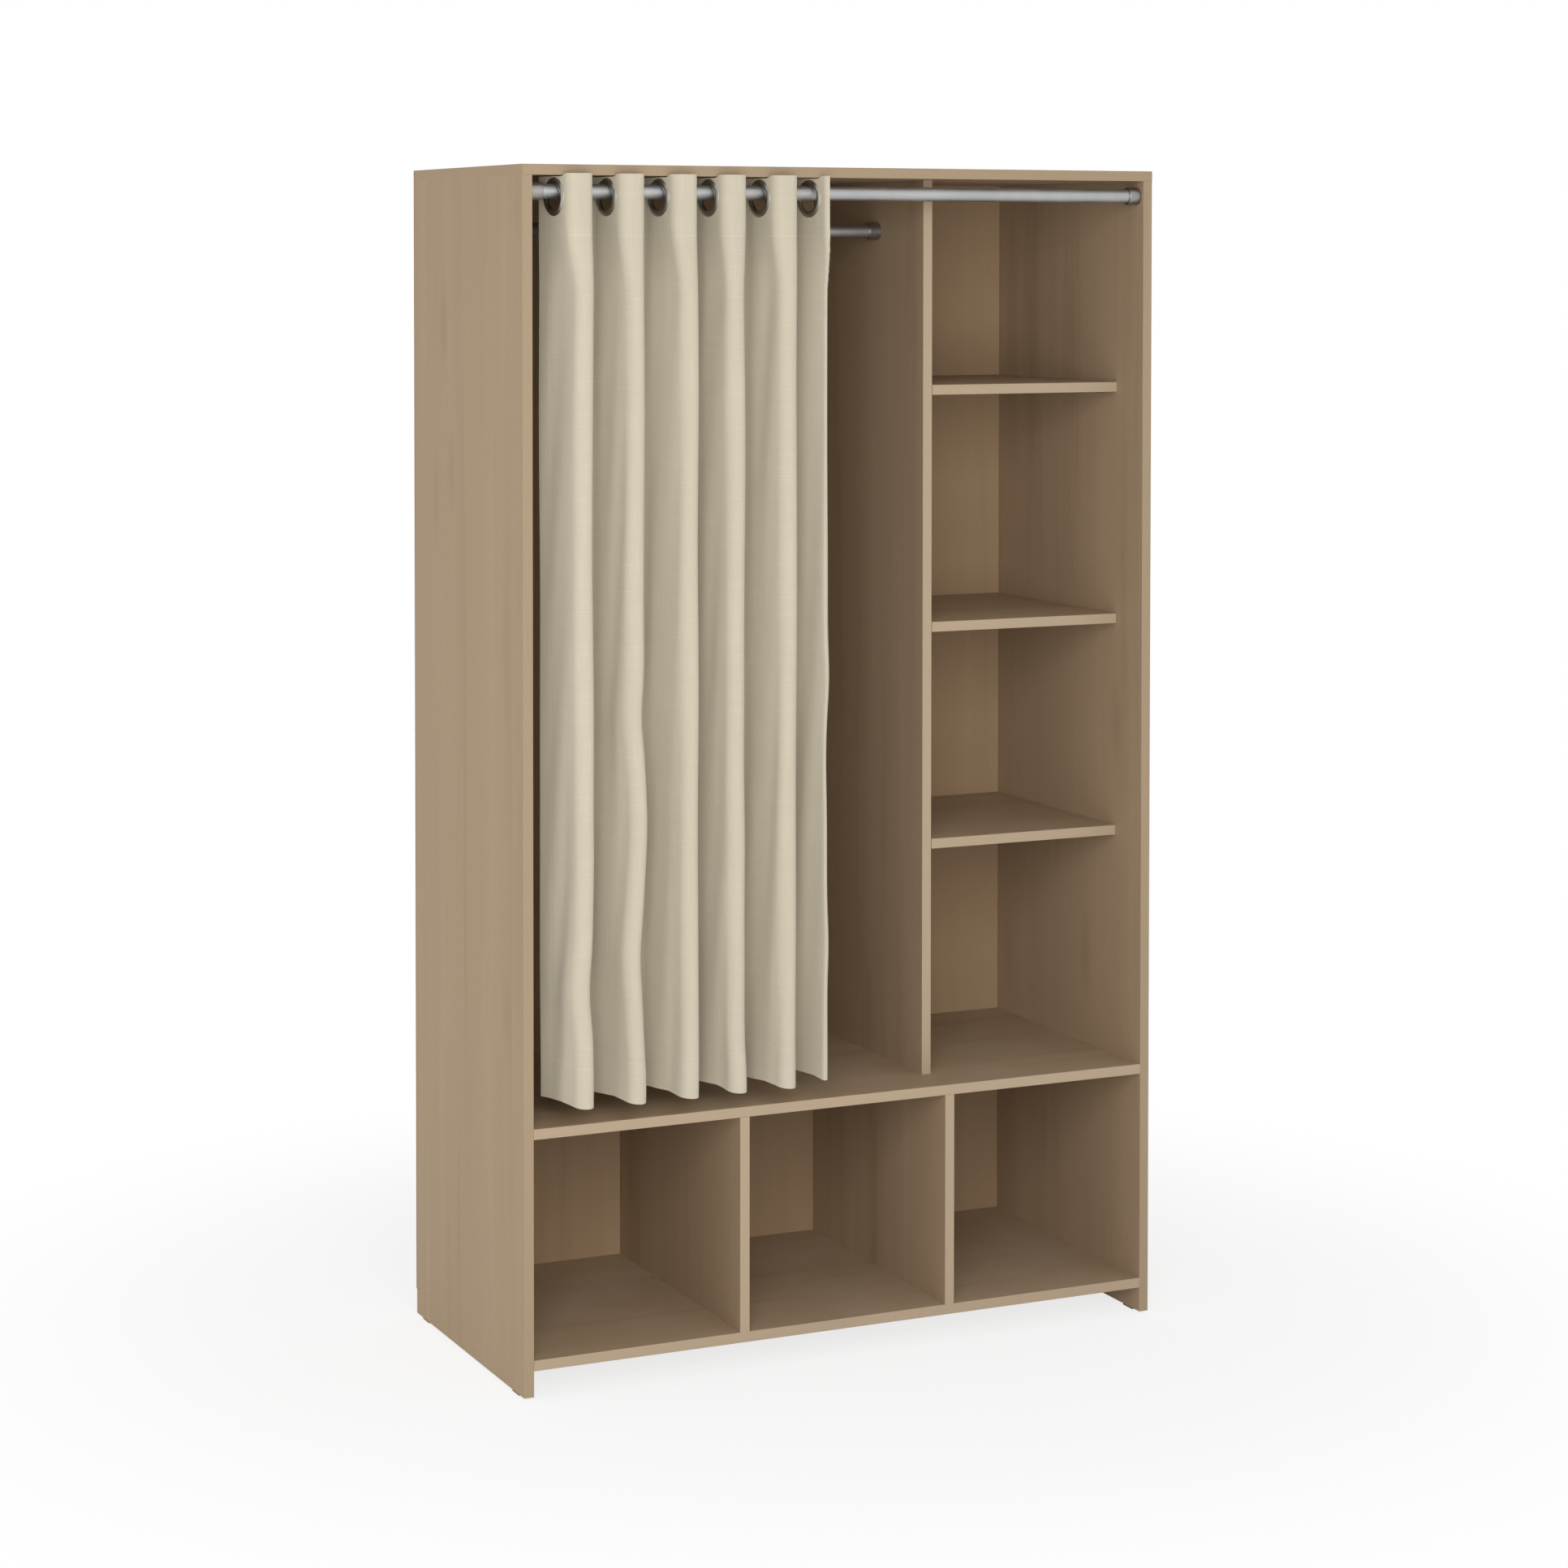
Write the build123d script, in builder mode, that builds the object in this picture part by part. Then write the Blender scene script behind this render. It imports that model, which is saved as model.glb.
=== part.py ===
"""Open wardrobe of pale oak boards with a hanging bay, a shelf column, three cubes and an eyelet curtain."""

import os
from math import ceil

from build123d import *

os.makedirs("parts", exist_ok=True)

# Driving dimensions of the carcass, in millimetres
width = 1080.0
height = 1850.0
side_depth = 487.0
board = 16.0
back_thickness = 3.0
glide_height = 3.0
foot_gap = 42.0
middle_shelf_level = 391.0
lower_shelf_clearance = 361.0
upper_shelf_clearance = 325.0
middle_shelf_drop = 15.5
recess = 82.0
bay_count = 3
upright_count = bay_count + 1
edge_round = 0.8
seat_gap = 0.1
overrun = 1.0

# Curtain rod and hanging rail
tube_radius = 11.0
tube_wall = 1.2
rod_setback = 20.0
rod_drop = 24.0
rail_setback = 245.0
rail_drop = 80.0
socket_wall = 2.8
socket_depth = 20.0
socket_base = 3.0
socket_round = 0.9
tube_end_gap = 0.5

# Curtain, gathered to the left of the rod
eyelet_count = 11
eyelet_pitch = 42.1
first_eyelet_inset = 58.6
cloth = 1.6
fold_reach = 45.0
fold_radius = 12.0
face_lean = 8.0
return_lean = 4.0
last_lean = 11.0
last_margin = 36.0
fold_seam_gap = 0.5
header_gap = 1.5
hem_gap = 28.0
fold_level_shares = (1.0, 0.94, 0.72, 0.48, 0.22, 0.0)
fold_depth_shares = (1.0, 1.0, 0.95, 0.93, 0.97, 1.0)
fold_drift_shares = (0.0, 0.0, -0.05, 0.02, 0.06, 0.0)

# Eyelet rings, each a pair of halves snapped together through the cloth
eyelet_bore = 19.5
eyelet_rim = 29.0
eyelet_dome = 3.0
eyelet_barrel = 1.0
eyelet_play = 0.3

# Fittings
screw_inset = 50.0
dowel_distance = 90.0
divider_screw_front_inset = 127.0
divider_screw_back_inset = 130.0
divider_dowel_distance = 40.0
dowel_radius = 4.0
dowel_length = 30.0
dowel_in_face = 10.0
cam_radius = 7.5
cam_depth = 12.6
cam_inset = 24.0
cam_slot = 1.6
cam_slot_length = 9.0
bolt_thread_radius = 3.0
bolt_neck_radius = 2.4
bolt_head_radius = 3.5
bolt_head_length = 4.0
bolt_in_side = 10.0
bolt_bore_radius = 4.0
confirmat_head_radius = 5.0
confirmat_head = 3.0
confirmat_radius = 3.2
confirmat_length = 50.0
confirmat_hex = 2.0
confirmat_hex_depth = 2.2
hexagon_sides = 6
pin_radius = 2.5
pin_in_side = 9.0
pin_peg = 8.0
pin_peg_height = 3.0
shelf_side_gap = 0.5
shelf_pin_inset = 50.0
socket_screw_radius = 2.0
socket_screw_head_radius = 3.8
socket_screw_head = 1.6
socket_screw_length = 14.0
socket_screw_drive_radius = 1.0
socket_screw_drive = 1.0
nail_radius = 0.8
nail_head_radius = 2.0
nail_head = 0.8
nail_length = 20.0
nail_spacing = 170.0
nail_edge_inset = 60.0
glide_length = 30.0
glide_width = 14.0
glide_inset = 40.0
glide_round = 2.0
glide_peg_radius = 2.0
glide_peg = 12.0
bracket_leg = 30.0
bracket_width = 24.0
bracket_sheet = 2.0
bracket_left_inset = 110.0
bracket_spacing = 360.0
bracket_screw_out = 17.0
bracket_screw_spacing = 12.0
wall_hole_radius = 3.0
wall_hole_drop = 19.0
wall_passage_radius = 4.0

# Levels, from the floor up
side_top = height - board
shelf_bottom_low = foot_gap
shelf_bottom_top = foot_gap + board
middle_low = middle_shelf_level
middle_top = middle_low + board
rod_level = side_top - rod_drop
rail_level = side_top - rail_drop
header_top = side_top - header_gap
hem_level = middle_top + hem_gap
lower_shelf_level = middle_top + lower_shelf_clearance
upper_shelf_level = side_top - upper_shelf_clearance - board
middle_column_level = (lower_shelf_level + upper_shelf_level) / 2 - middle_shelf_drop
column_shelf_levels = (lower_shelf_level, middle_column_level, upper_shelf_level)
eyelet_level = rod_level + tube_radius + eyelet_play - eyelet_bore

# Places across the width, from the middle
half_width = width / 2
side_inner = half_width - board
bay = (width - upright_count * board) / bay_count
divider_x = bay / 2 + board / 2
column_left = divider_x + board / 2
eyelet_places = [first_eyelet_inset - half_width + k * eyelet_pitch for k in range(eyelet_count)]

# Places through the depth: the curtain's folds stand in front of the boards, the nail heads behind
curtain_projection = fold_reach - rod_setback
overall_depth = curtain_projection + side_depth + back_thickness + nail_head
front_y = curtain_projection - overall_depth / 2
back_y = front_y + side_depth
divider_front = front_y + recess
rod_y = front_y + rod_setback
rail_y = front_y + rail_setback
screw_ys = (front_y + screw_inset, back_y - screw_inset)
dowel_ys = (front_y + dowel_distance, back_y - dowel_distance)
divider_screw_ys = (front_y + divider_screw_front_inset, back_y - divider_screw_back_inset)
divider_dowel_ys = (divider_screw_ys[0] + divider_dowel_distance,
                    divider_screw_ys[1] - divider_dowel_distance)
pin_ys = (divider_front + shelf_pin_inset, back_y - shelf_pin_inset)
shelf_mids = (shelf_bottom_low + board / 2, middle_low + board / 2)

UP = (0, 0, 1)
DOWN = (0, 0, -1)
RIGHT = (1, 0, 0)
LEFT = (-1, 0, 0)
REARWARD = (0, 1, 0)
FORWARD = (0, -1, 0)


def board_between(x, y, z):
    """Make a board that fills the spans x, y and z, its two long front edges eased."""
    with BuildSketch(Plane.XY.offset(z[0])) as outline:
        with Locations(((x[0] + x[1]) / 2, (y[0] + y[1]) / 2)):
            Rectangle(x[1] - x[0], y[1] - y[0])
    block = extrude(outline.sketch, amount=z[1] - z[0])
    front = block.faces().sort_by(Axis.Y)[0]
    along = Axis.Z if z[1] - z[0] > x[1] - x[0] else Axis.X
    fillet(front.edges().filter_by(along), radius=edge_round)


def drill(places, direction, radius, depth):
    """Drill a blind hole of the given radius and depth from each place."""
    with Locations(*[Plane(origin=place, z_dir=direction) for place in places]):
        Cylinder(radius, depth, align=(Align.CENTER, Align.CENTER, Align.MIN), mode=Mode.SUBTRACT)


def rods(places, direction, radius, length):
    """Add a plain round rod of the given radius and length from each place."""
    with Locations(*[Plane(origin=place, z_dir=direction) for place in places]):
        Cylinder(radius, length, align=(Align.CENTER, Align.CENTER, Align.MIN))


def moved(places, direction, distance):
    """Give the places moved along a direction."""
    return [tuple(p + d * distance for p, d in zip(place, direction)) for place in places]


def export(part, name):
    """Label a finished piece and write its file."""
    part.label = name
    export_step(part, f"parts/{name}.step")


# Places of the fittings, shared by the boards and by the fittings themselves
side_wall_bolts = [(side_inner, y, z) for z in shelf_mids for y in screw_ys]
side_wall_dowels = [(side_inner, y, z) for z in shelf_mids for y in dowel_ys]
side_top_screws = [(half_width - board / 2, y, side_top) for y in screw_ys]
side_top_dowels = [(half_width - board / 2, y, side_top) for y in dowel_ys]
divider_top_screws = [(divider_x, y, side_top) for y in divider_screw_ys]
divider_top_dowels = [(divider_x, y, side_top) for y in divider_dowel_ys]
divider_foot_screws = [(divider_x, y, middle_top) for y in divider_screw_ys]
divider_foot_dowels = [(divider_x, y, middle_top) for y in divider_dowel_ys]
lower_xs = (-divider_x, divider_x)
lower_foot_screws = [(x, y, shelf_bottom_top) for x in lower_xs for y in screw_ys]
lower_foot_dowels = [(x, y, shelf_bottom_top) for x in lower_xs for y in dowel_ys]
lower_top_dowels = [(x, y, middle_low) for x in lower_xs for y in dowel_ys]
rod_socket_base = (side_inner, rod_y, rod_level)
rail_socket_left_base = (-side_inner, rail_y, rail_level)
rail_socket_right_base = (divider_x - board / 2, rail_y, rail_level)
pin_places = [(y, level) for level in column_shelf_levels for y in pin_ys]
bracket_xs = [bracket_left_inset - half_width, bracket_left_inset - half_width + bracket_spacing]
bracket_screws = [(x + side * bracket_screw_spacing / 2, back_y - bracket_screw_out, side_top)
                  for x in bracket_xs for side in (-1, 1)]
wall_holes = [(x, back_y, side_top - wall_hole_drop) for x in bracket_xs]


def mirrored(places):
    """Give the places mirrored to the other side of the middle."""
    return [(-x, y, z) for x, y, z in places]


# Bore sizes: each fitting's own size and the seat gap
dowel_bore = dowel_radius + seat_gap
dowel_in_end = dowel_length - dowel_in_face
bolt_thread_bore = bolt_thread_radius + seat_gap
confirmat_bore = confirmat_radius + seat_gap
confirmat_head_bore = confirmat_head_radius + seat_gap
confirmat_in_end = confirmat_length - board + seat_gap
pin_bore = pin_radius + seat_gap
socket_screw_bore = socket_screw_radius + seat_gap
socket_screw_in_side = socket_screw_length - socket_base + seat_gap
nail_bore = nail_radius + seat_gap
nail_in_board = nail_length - back_thickness + seat_gap
glide_peg_bore = glide_peg_radius + seat_gap

# Nail places on the rear edges of the boards
nail_low = shelf_bottom_low + nail_edge_inset
nail_high = height - nail_edge_inset
side_nail_count = ceil((nail_high - nail_low) / nail_spacing)
side_step = (nail_high - nail_low) / side_nail_count
side_nail_levels = [nail_low + k * side_step for k in range(side_nail_count + 1)]
across_nail_count = ceil((width - 2 * nail_edge_inset) / nail_spacing)
across_step = (width - 2 * nail_edge_inset) / across_nail_count
across_nail_xs = [nail_edge_inset - half_width + k * across_step for k in range(across_nail_count + 1)]
upper_nail_levels = [z for z in side_nail_levels if z > middle_top + nail_edge_inset]
side_nails = [(half_width - board / 2, back_y, z) for z in side_nail_levels]
seam_side_shift = board / 4
seam_nail_xs = (divider_x - seam_side_shift, divider_x + seam_side_shift)
divider_nails = [(x, back_y, z) for x in seam_nail_xs for z in upper_nail_levels]
lower_nail_level = (shelf_bottom_top + middle_low) / 2
lower_nails = [(-divider_x, back_y, lower_nail_level)]
lower_nails += [(x, back_y, lower_nail_level) for x in seam_nail_xs]
top_nails = [(x, back_y, side_top + board / 2) for x in across_nail_xs]
middle_nails = [(x, back_y, middle_low + board / 2) for x in across_nail_xs]
bottom_nails = [(x, back_y, shelf_bottom_low + board / 2) for x in across_nail_xs]


def socket_hole(base, direction):
    """Drill the hole for one socket's screw into the board behind it."""
    drill([base], direction, socket_screw_bore, socket_screw_in_side)


# Side panels: they run from the glides to the underside of the top
glide_places = [(half_width - board / 2, y) for y in (front_y + glide_inset, back_y - glide_inset)]

with BuildPart() as right_side_panel:
    board_between((side_inner, half_width), (front_y, back_y), (glide_height, side_top))
    drill(side_wall_bolts, RIGHT, bolt_thread_bore, bolt_in_side + seat_gap)
    drill(side_wall_dowels, RIGHT, dowel_bore, dowel_in_face + seat_gap)
    drill(side_top_screws, DOWN, confirmat_bore, confirmat_in_end)
    drill(side_top_dowels, DOWN, dowel_bore, dowel_in_end + seat_gap)
    drill([(side_inner, y, z - pin_radius) for y, z in pin_places], RIGHT, pin_bore, pin_in_side + seat_gap)
    drill(side_nails, FORWARD, nail_bore, nail_in_board)
    drill([(x, y, glide_height) for x, y in glide_places], UP, glide_peg_bore, glide_peg + seat_gap)
    socket_hole(rod_socket_base, RIGHT)
export(right_side_panel.part, "right_side_panel")

with BuildPart() as left_side_panel:
    board_between((-half_width, -side_inner), (front_y, back_y), (glide_height, side_top))
    drill(mirrored(side_wall_bolts), LEFT, bolt_thread_bore, bolt_in_side + seat_gap)
    drill(mirrored(side_wall_dowels), LEFT, dowel_bore, dowel_in_face + seat_gap)
    drill(mirrored(side_top_screws), DOWN, confirmat_bore, confirmat_in_end)
    drill(mirrored(side_top_dowels), DOWN, dowel_bore, dowel_in_end + seat_gap)
    drill(mirrored(side_nails), FORWARD, nail_bore, nail_in_board)
    drill([(-x, y, glide_height) for x, y in glide_places], UP, glide_peg_bore, glide_peg + seat_gap)
    socket_hole((-side_inner, rod_y, rod_level), LEFT)
    socket_hole(rail_socket_left_base, LEFT)
export(left_side_panel.part, "left_side_panel")

# Top panel: it lies over both sides and over the tall divider
top_screws = side_top_screws + mirrored(side_top_screws) + divider_top_screws
top_dowels = side_top_dowels + mirrored(side_top_dowels) + divider_top_dowels

with BuildPart() as top_panel:
    board_between((-half_width, half_width), (front_y, back_y), (side_top, height))
    drill(top_screws, UP, confirmat_bore, board + overrun)
    drill(moved(top_screws, UP, board - confirmat_head), UP, confirmat_head_bore, board)
    drill(top_dowels, UP, dowel_bore, dowel_in_face + seat_gap)
    drill(top_nails, FORWARD, nail_bore, nail_in_board)
    drill(bracket_screws, UP, socket_screw_bore, socket_screw_length - bracket_sheet + seat_gap)
export(top_panel.part, "top_panel")


def shelf_end_holes(level):
    """Drill the cam pockets, bolt bores and dowel holes of a shelf that hangs between the sides."""
    for side, inward in ((-1, RIGHT), (1, LEFT)):
        bolt_places = [(side * side_inner, y, level + board / 2) for y in screw_ys]
        dowel_places = [(side * side_inner, y, level + board / 2) for y in dowel_ys]
        pockets = [(side * (side_inner - cam_inset), y, level) for y in screw_ys]
        drill(pockets, UP, cam_radius + seat_gap, cam_depth + seat_gap)
        drill(bolt_places, inward, bolt_bore_radius, cam_inset)
        drill(dowel_places, inward, dowel_bore, dowel_in_end + seat_gap)


# Bottom shelf: raised off the floor, it carries the lower dividers
with BuildPart() as bottom_shelf:
    board_between((-side_inner, side_inner), (front_y, back_y), (shelf_bottom_low, shelf_bottom_top))
    shelf_end_holes(shelf_bottom_low)
    drill(lower_foot_screws, DOWN, confirmat_bore, board + overrun)
    drill(moved(lower_foot_screws, DOWN, board - confirmat_head), DOWN, confirmat_head_bore, board)
    drill(lower_foot_dowels, DOWN, dowel_bore, dowel_in_face + seat_gap)
    drill(bottom_nails, FORWARD, nail_bore, nail_in_board)
export(bottom_shelf.part, "bottom_shelf")

# Middle shelf: full depth, it parts the cubes from the bays above
with BuildPart() as middle_shelf:
    board_between((-side_inner, side_inner), (front_y, back_y), (middle_low, middle_top))
    shelf_end_holes(middle_low)
    drill(divider_foot_screws, DOWN, confirmat_bore, board + overrun)
    drill(moved(divider_foot_screws, DOWN, board - confirmat_head), DOWN, confirmat_head_bore, board)
    drill(divider_foot_dowels, DOWN, dowel_bore, dowel_in_face + seat_gap)
    drill(lower_top_dowels, UP, dowel_bore, dowel_in_face + seat_gap)
    drill(middle_nails, FORWARD, nail_bore, nail_in_board)
export(middle_shelf.part, "middle_shelf")

# Tall divider: set back from the front, between the middle shelf and the top
with BuildPart() as tall_divider:
    board_between((divider_x - board / 2, column_left), (divider_front, back_y), (middle_top, side_top))
    drill(divider_top_screws, DOWN, confirmat_bore, confirmat_in_end)
    drill(divider_foot_screws, UP, confirmat_bore, confirmat_in_end)
    drill(divider_top_dowels, DOWN, dowel_bore, dowel_in_end + seat_gap)
    drill(divider_foot_dowels, UP, dowel_bore, dowel_in_end + seat_gap)
    drill([(column_left, y, z - pin_radius) for y, z in pin_places], LEFT, pin_bore, pin_in_side + seat_gap)
    drill(divider_nails, FORWARD, nail_bore, nail_in_board)
    socket_hole(rail_socket_right_base, RIGHT)
export(tall_divider.part, "tall_divider")

# Lower dividers: between the bottom and the middle shelf
for lower_x, lower_name in ((-divider_x, "left_lower_divider"), (divider_x, "right_lower_divider")):
    own_nails = [place for place in lower_nails if abs(place[0] - lower_x) < board]
    with BuildPart() as lower_divider:
        board_between((lower_x - board / 2, lower_x + board / 2), (front_y, back_y),
                      (shelf_bottom_top, middle_low))
        drill([p for p in lower_foot_screws if p[0] == lower_x], UP, confirmat_bore, confirmat_in_end)
        drill([p for p in lower_foot_dowels if p[0] == lower_x], UP, dowel_bore, dowel_in_end + seat_gap)
        drill([p for p in lower_top_dowels if p[0] == lower_x], DOWN, dowel_bore, dowel_in_end + seat_gap)
        drill(own_nails, FORWARD, nail_bore, nail_in_board)
    export(lower_divider.part, lower_name)

# Column shelves: loose boards on four pins each
column_shelf_names = ("lower", "middle", "upper")

for shelf_level, shelf_name in zip(column_shelf_levels, column_shelf_names):
    with BuildPart() as column_shelf:
        board_between((column_left + shelf_side_gap, side_inner - shelf_side_gap),
                      (divider_front, back_y - seat_gap), (shelf_level, shelf_level + board))
    export(column_shelf.part, f"column_shelf_{shelf_name}")

# Back: two thin sheets nailed to the rear edges, which meet behind the tall divider
back_nails_right = side_nails + [p for p in divider_nails + lower_nails if p[0] > divider_x]
back_nails_right += [p for p in top_nails + middle_nails + bottom_nails if p[0] > divider_x]
back_nails_left = mirrored(side_nails) + [p for p in divider_nails + lower_nails if p[0] < divider_x]
back_nails_left += [p for p in top_nails + middle_nails + bottom_nails if p[0] < divider_x]
back_spans = (("back_panel_left", -half_width, divider_x - seat_gap, back_nails_left, wall_holes),
              ("back_panel_right", divider_x + seat_gap, half_width, back_nails_right, []))

for back_name, back_from, back_to, back_nails, passages in back_spans:
    with BuildPart() as back_panel:
        with BuildSketch(Plane.XZ.offset(-back_y)):
            with Locations(((back_from + back_to) / 2, (shelf_bottom_low + height) / 2)):
                Rectangle(back_to - back_from, height - shelf_bottom_low)
        extrude(amount=-back_thickness)
        drill(back_nails, REARWARD, nail_bore, back_thickness + overrun)
        if passages:
            drill(passages, REARWARD, wall_passage_radius, back_thickness + overrun)
    export(back_panel.part, back_name)


def tube(start, end, y, level):
    """Make a hollow round tube along the width between two places."""
    with BuildSketch(Plane(origin=(start, y, level), z_dir=RIGHT)) as ring:
        Circle(tube_radius)
        Circle(tube_radius - tube_wall, mode=Mode.SUBTRACT)
    extrude(ring.sketch, amount=end - start)


def cup(base, direction):
    """Make a cup socket that holds a tube's end, with a countersunk hole in its base."""
    outer = tube_radius + seat_gap + socket_wall
    with BuildSketch(Plane(origin=base, z_dir=direction)) as base_disc:
        Circle(outer)
    body = extrude(base_disc.sketch, amount=socket_depth)
    fillet(body.edges().filter_by(GeomType.CIRCLE).sort_by(Axis(base, direction))[-1], radius=socket_round)
    mouth = moved([base], direction, socket_base)
    drill(mouth, direction, tube_radius + seat_gap, socket_depth)
    drill([base], direction, socket_screw_bore, socket_depth)
    drill(moved([base], direction, socket_base - socket_screw_head), direction,
          socket_screw_head_radius + seat_gap, socket_depth)


# Curtain rod in front of the divider, and the hanging rail of the left bay
tube_inset = socket_base + tube_end_gap

with BuildPart() as curtain_rod:
    tube(tube_inset - side_inner, side_inner - tube_inset, rod_y, rod_level)
export(curtain_rod.part, "curtain_rod")

with BuildPart() as hanging_rail:
    tube(tube_inset - side_inner, divider_x - board / 2 - tube_inset, rail_y, rail_level)
export(hanging_rail.part, "hanging_rail")

sockets = (("curtain_rod_socket_left", (-side_inner, rod_y, rod_level), RIGHT),
           ("curtain_rod_socket_right", rod_socket_base, LEFT),
           ("hanging_rail_socket_left", rail_socket_left_base, RIGHT),
           ("hanging_rail_socket_right", rail_socket_right_base, LEFT))

for socket_name, socket_base_place, socket_direction in sockets:
    with BuildPart() as socket:
        cup(socket_base_place, socket_direction)
    export(socket.part, socket_name)


def small_screw(head_place, direction, length):
    """Add a small screw that starts at its head's outer face and runs along a direction."""
    rods([head_place], direction, socket_screw_head_radius, socket_screw_head)
    rods(moved([head_place], direction, socket_screw_head), direction, socket_screw_radius,
         length - socket_screw_head)
    drill([head_place], direction, socket_screw_drive_radius, socket_screw_drive)


with BuildPart() as socket_screws:
    for socket_name, socket_base_place, socket_direction in sockets:
        into_board = tuple(-d for d in socket_direction)
        head_place = moved([socket_base_place], socket_direction, socket_base)[0]
        small_screw(head_place, into_board, socket_screw_length)
export(socket_screws.part, "socket_screws")

# Confirmat screws with hexagon recesses: from above through the top, from below through the shelves
confirmat_heads = [(place, DOWN) for place in moved(top_screws, UP, board)]
confirmat_heads += [(place, UP) for place in moved(divider_foot_screws, DOWN, board)]
confirmat_heads += [(place, UP) for place in moved(lower_foot_screws, DOWN, board)]

with BuildPart() as confirmat_screws:
    for head_place, into_board in confirmat_heads:
        rods([head_place], into_board, confirmat_head_radius, confirmat_head)
        rods(moved([head_place], into_board, confirmat_head), into_board, confirmat_radius,
             confirmat_length - confirmat_head)
        with BuildSketch(Plane(origin=head_place, z_dir=into_board)):
            RegularPolygon(confirmat_hex, hexagon_sides)
        extrude(amount=confirmat_hex_depth, mode=Mode.SUBTRACT)
export(confirmat_screws.part, "confirmat_screws")

# Beech dowels between the boards
with BuildPart() as wooden_dowels:
    rods(moved(top_dowels, DOWN, dowel_in_end), UP, dowel_radius, dowel_length)
    rods(moved(divider_foot_dowels, DOWN, dowel_in_face), UP, dowel_radius, dowel_length)
    rods(moved(lower_foot_dowels, DOWN, dowel_in_face), UP, dowel_radius, dowel_length)
    rods(moved(lower_top_dowels, DOWN, dowel_in_end), UP, dowel_radius, dowel_length)
    rods(moved(side_wall_dowels, LEFT, dowel_in_end), RIGHT, dowel_radius, dowel_length)
    rods(moved(mirrored(side_wall_dowels), RIGHT, dowel_in_end), LEFT, dowel_radius, dowel_length)
export(wooden_dowels.part, "wooden_dowels")

# Cam locks in the undersides of the shelves, and the bolts that they draw
all_bolts = [(place, LEFT) for place in side_wall_bolts]
all_bolts += [(place, RIGHT) for place in mirrored(side_wall_bolts)]

with BuildPart() as cam_locks:
    for place, inward in all_bolts:
        centre = moved([place], inward, cam_inset)[0]
        cam_place = (centre[0], centre[1], centre[2] - board / 2)
        rods([cam_place], UP, cam_radius, cam_depth)
        drill([place], inward, bolt_bore_radius, cam_inset + bolt_head_radius)
        with BuildSketch(Plane(origin=cam_place)):
            Rectangle(cam_slot_length, cam_slot)
            Rectangle(cam_slot, cam_slot_length)
        extrude(amount=cam_slot, mode=Mode.SUBTRACT)
export(cam_locks.part, "cam_locks")

with BuildPart() as cam_bolts:
    for place, inward in all_bolts:
        outward = tuple(-d for d in inward)
        rods([place], outward, bolt_thread_radius, bolt_in_side)
        rods([place], inward, bolt_neck_radius, cam_inset)
        rods([place], inward, bolt_head_radius, board / 2)
        bolt_head_place = moved([place], inward, cam_inset - bolt_head_length)
        rods(bolt_head_place, inward, bolt_head_radius, bolt_head_length)
export(cam_bolts.part, "cam_bolts")


def shelf_pin(place, outward):
    """Add one shelf pin: a round stem in the board and a flat peg under the shelf."""
    x, y, level = place
    into_board = tuple(-d for d in outward)
    rods([(x, y, level - pin_radius)], into_board, pin_radius, pin_in_side)
    with BuildSketch(Plane(origin=(x, y, level - pin_peg_height / 2), x_dir=REARWARD, z_dir=outward)) as peg:
        Rectangle(2 * pin_radius, pin_peg_height)
    extrude(peg.sketch, amount=shelf_side_gap + pin_peg)


with BuildPart() as shelf_pins:
    for pin_y, pin_level in pin_places:
        shelf_pin((column_left, pin_y, pin_level), RIGHT)
        shelf_pin((side_inner, pin_y, pin_level), LEFT)
export(shelf_pins.part, "shelf_pins")

# Nails of the back sheets
all_nails = back_nails_left + back_nails_right
with BuildPart() as back_panel_nails:
    rods(moved(all_nails, REARWARD, back_thickness), REARWARD, nail_head_radius, nail_head)
    rods(moved(all_nails, REARWARD, back_thickness - nail_length), REARWARD, nail_radius, nail_length)
export(back_panel_nails.part, "back_panel_nails")

# Glides under the side panels, which the wardrobe stands on
with BuildPart() as floor_glides:
    for side in (-1, 1):
        for glide_x, glide_y in glide_places:
            with BuildSketch(Plane.XY):
                with Locations((side * glide_x, glide_y)):
                    RectangleRounded(glide_width, glide_length, glide_round)
            extrude(amount=glide_height)
            rods([(side * glide_x, glide_y, glide_height)], UP, glide_peg_radius, glide_peg)
export(floor_glides.part, "floor_glides")

# Angle brackets under the top at the back, for screws into a wall
for bracket_x, bracket_name in zip(bracket_xs, ("left", "right")):
    own_screws = [p for p in bracket_screws if abs(p[0] - bracket_x) < bracket_width]
    own_holes = [p for p in wall_holes if p[0] == bracket_x]
    with BuildPart() as wall_bracket:
        with BuildSketch(Plane(origin=(bracket_x - bracket_width / 2, back_y, side_top), z_dir=RIGHT,
                               x_dir=FORWARD)):
            with BuildLine():
                Polyline((0, 0), (bracket_leg, 0), (bracket_leg, bracket_sheet),
                         (bracket_sheet, bracket_sheet), (bracket_sheet, bracket_leg), (0, bracket_leg),
                         close=True)
            make_face()
        extrude(amount=bracket_width)
        drill(own_screws, DOWN, socket_screw_bore, bracket_leg)
        drill(own_holes, FORWARD, wall_hole_radius, bracket_leg / 2)
    export(wall_bracket.part, f"wall_bracket_{bracket_name}")

with BuildPart() as wall_bracket_screws:
    for place in bracket_screws:
        head_place = moved([place], DOWN, bracket_sheet + socket_screw_head)[0]
        small_screw(head_place, UP, socket_screw_length + socket_screw_head)
export(wall_bracket_screws.part, "wall_bracket_screws")

# Curtain: one fold and one eyelet for each place on the rod
drop = header_top - hem_level
fold_levels = [hem_level + share * drop for share in fold_level_shares]
cloth_hole = eyelet_bore + eyelet_barrel + eyelet_play


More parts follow.
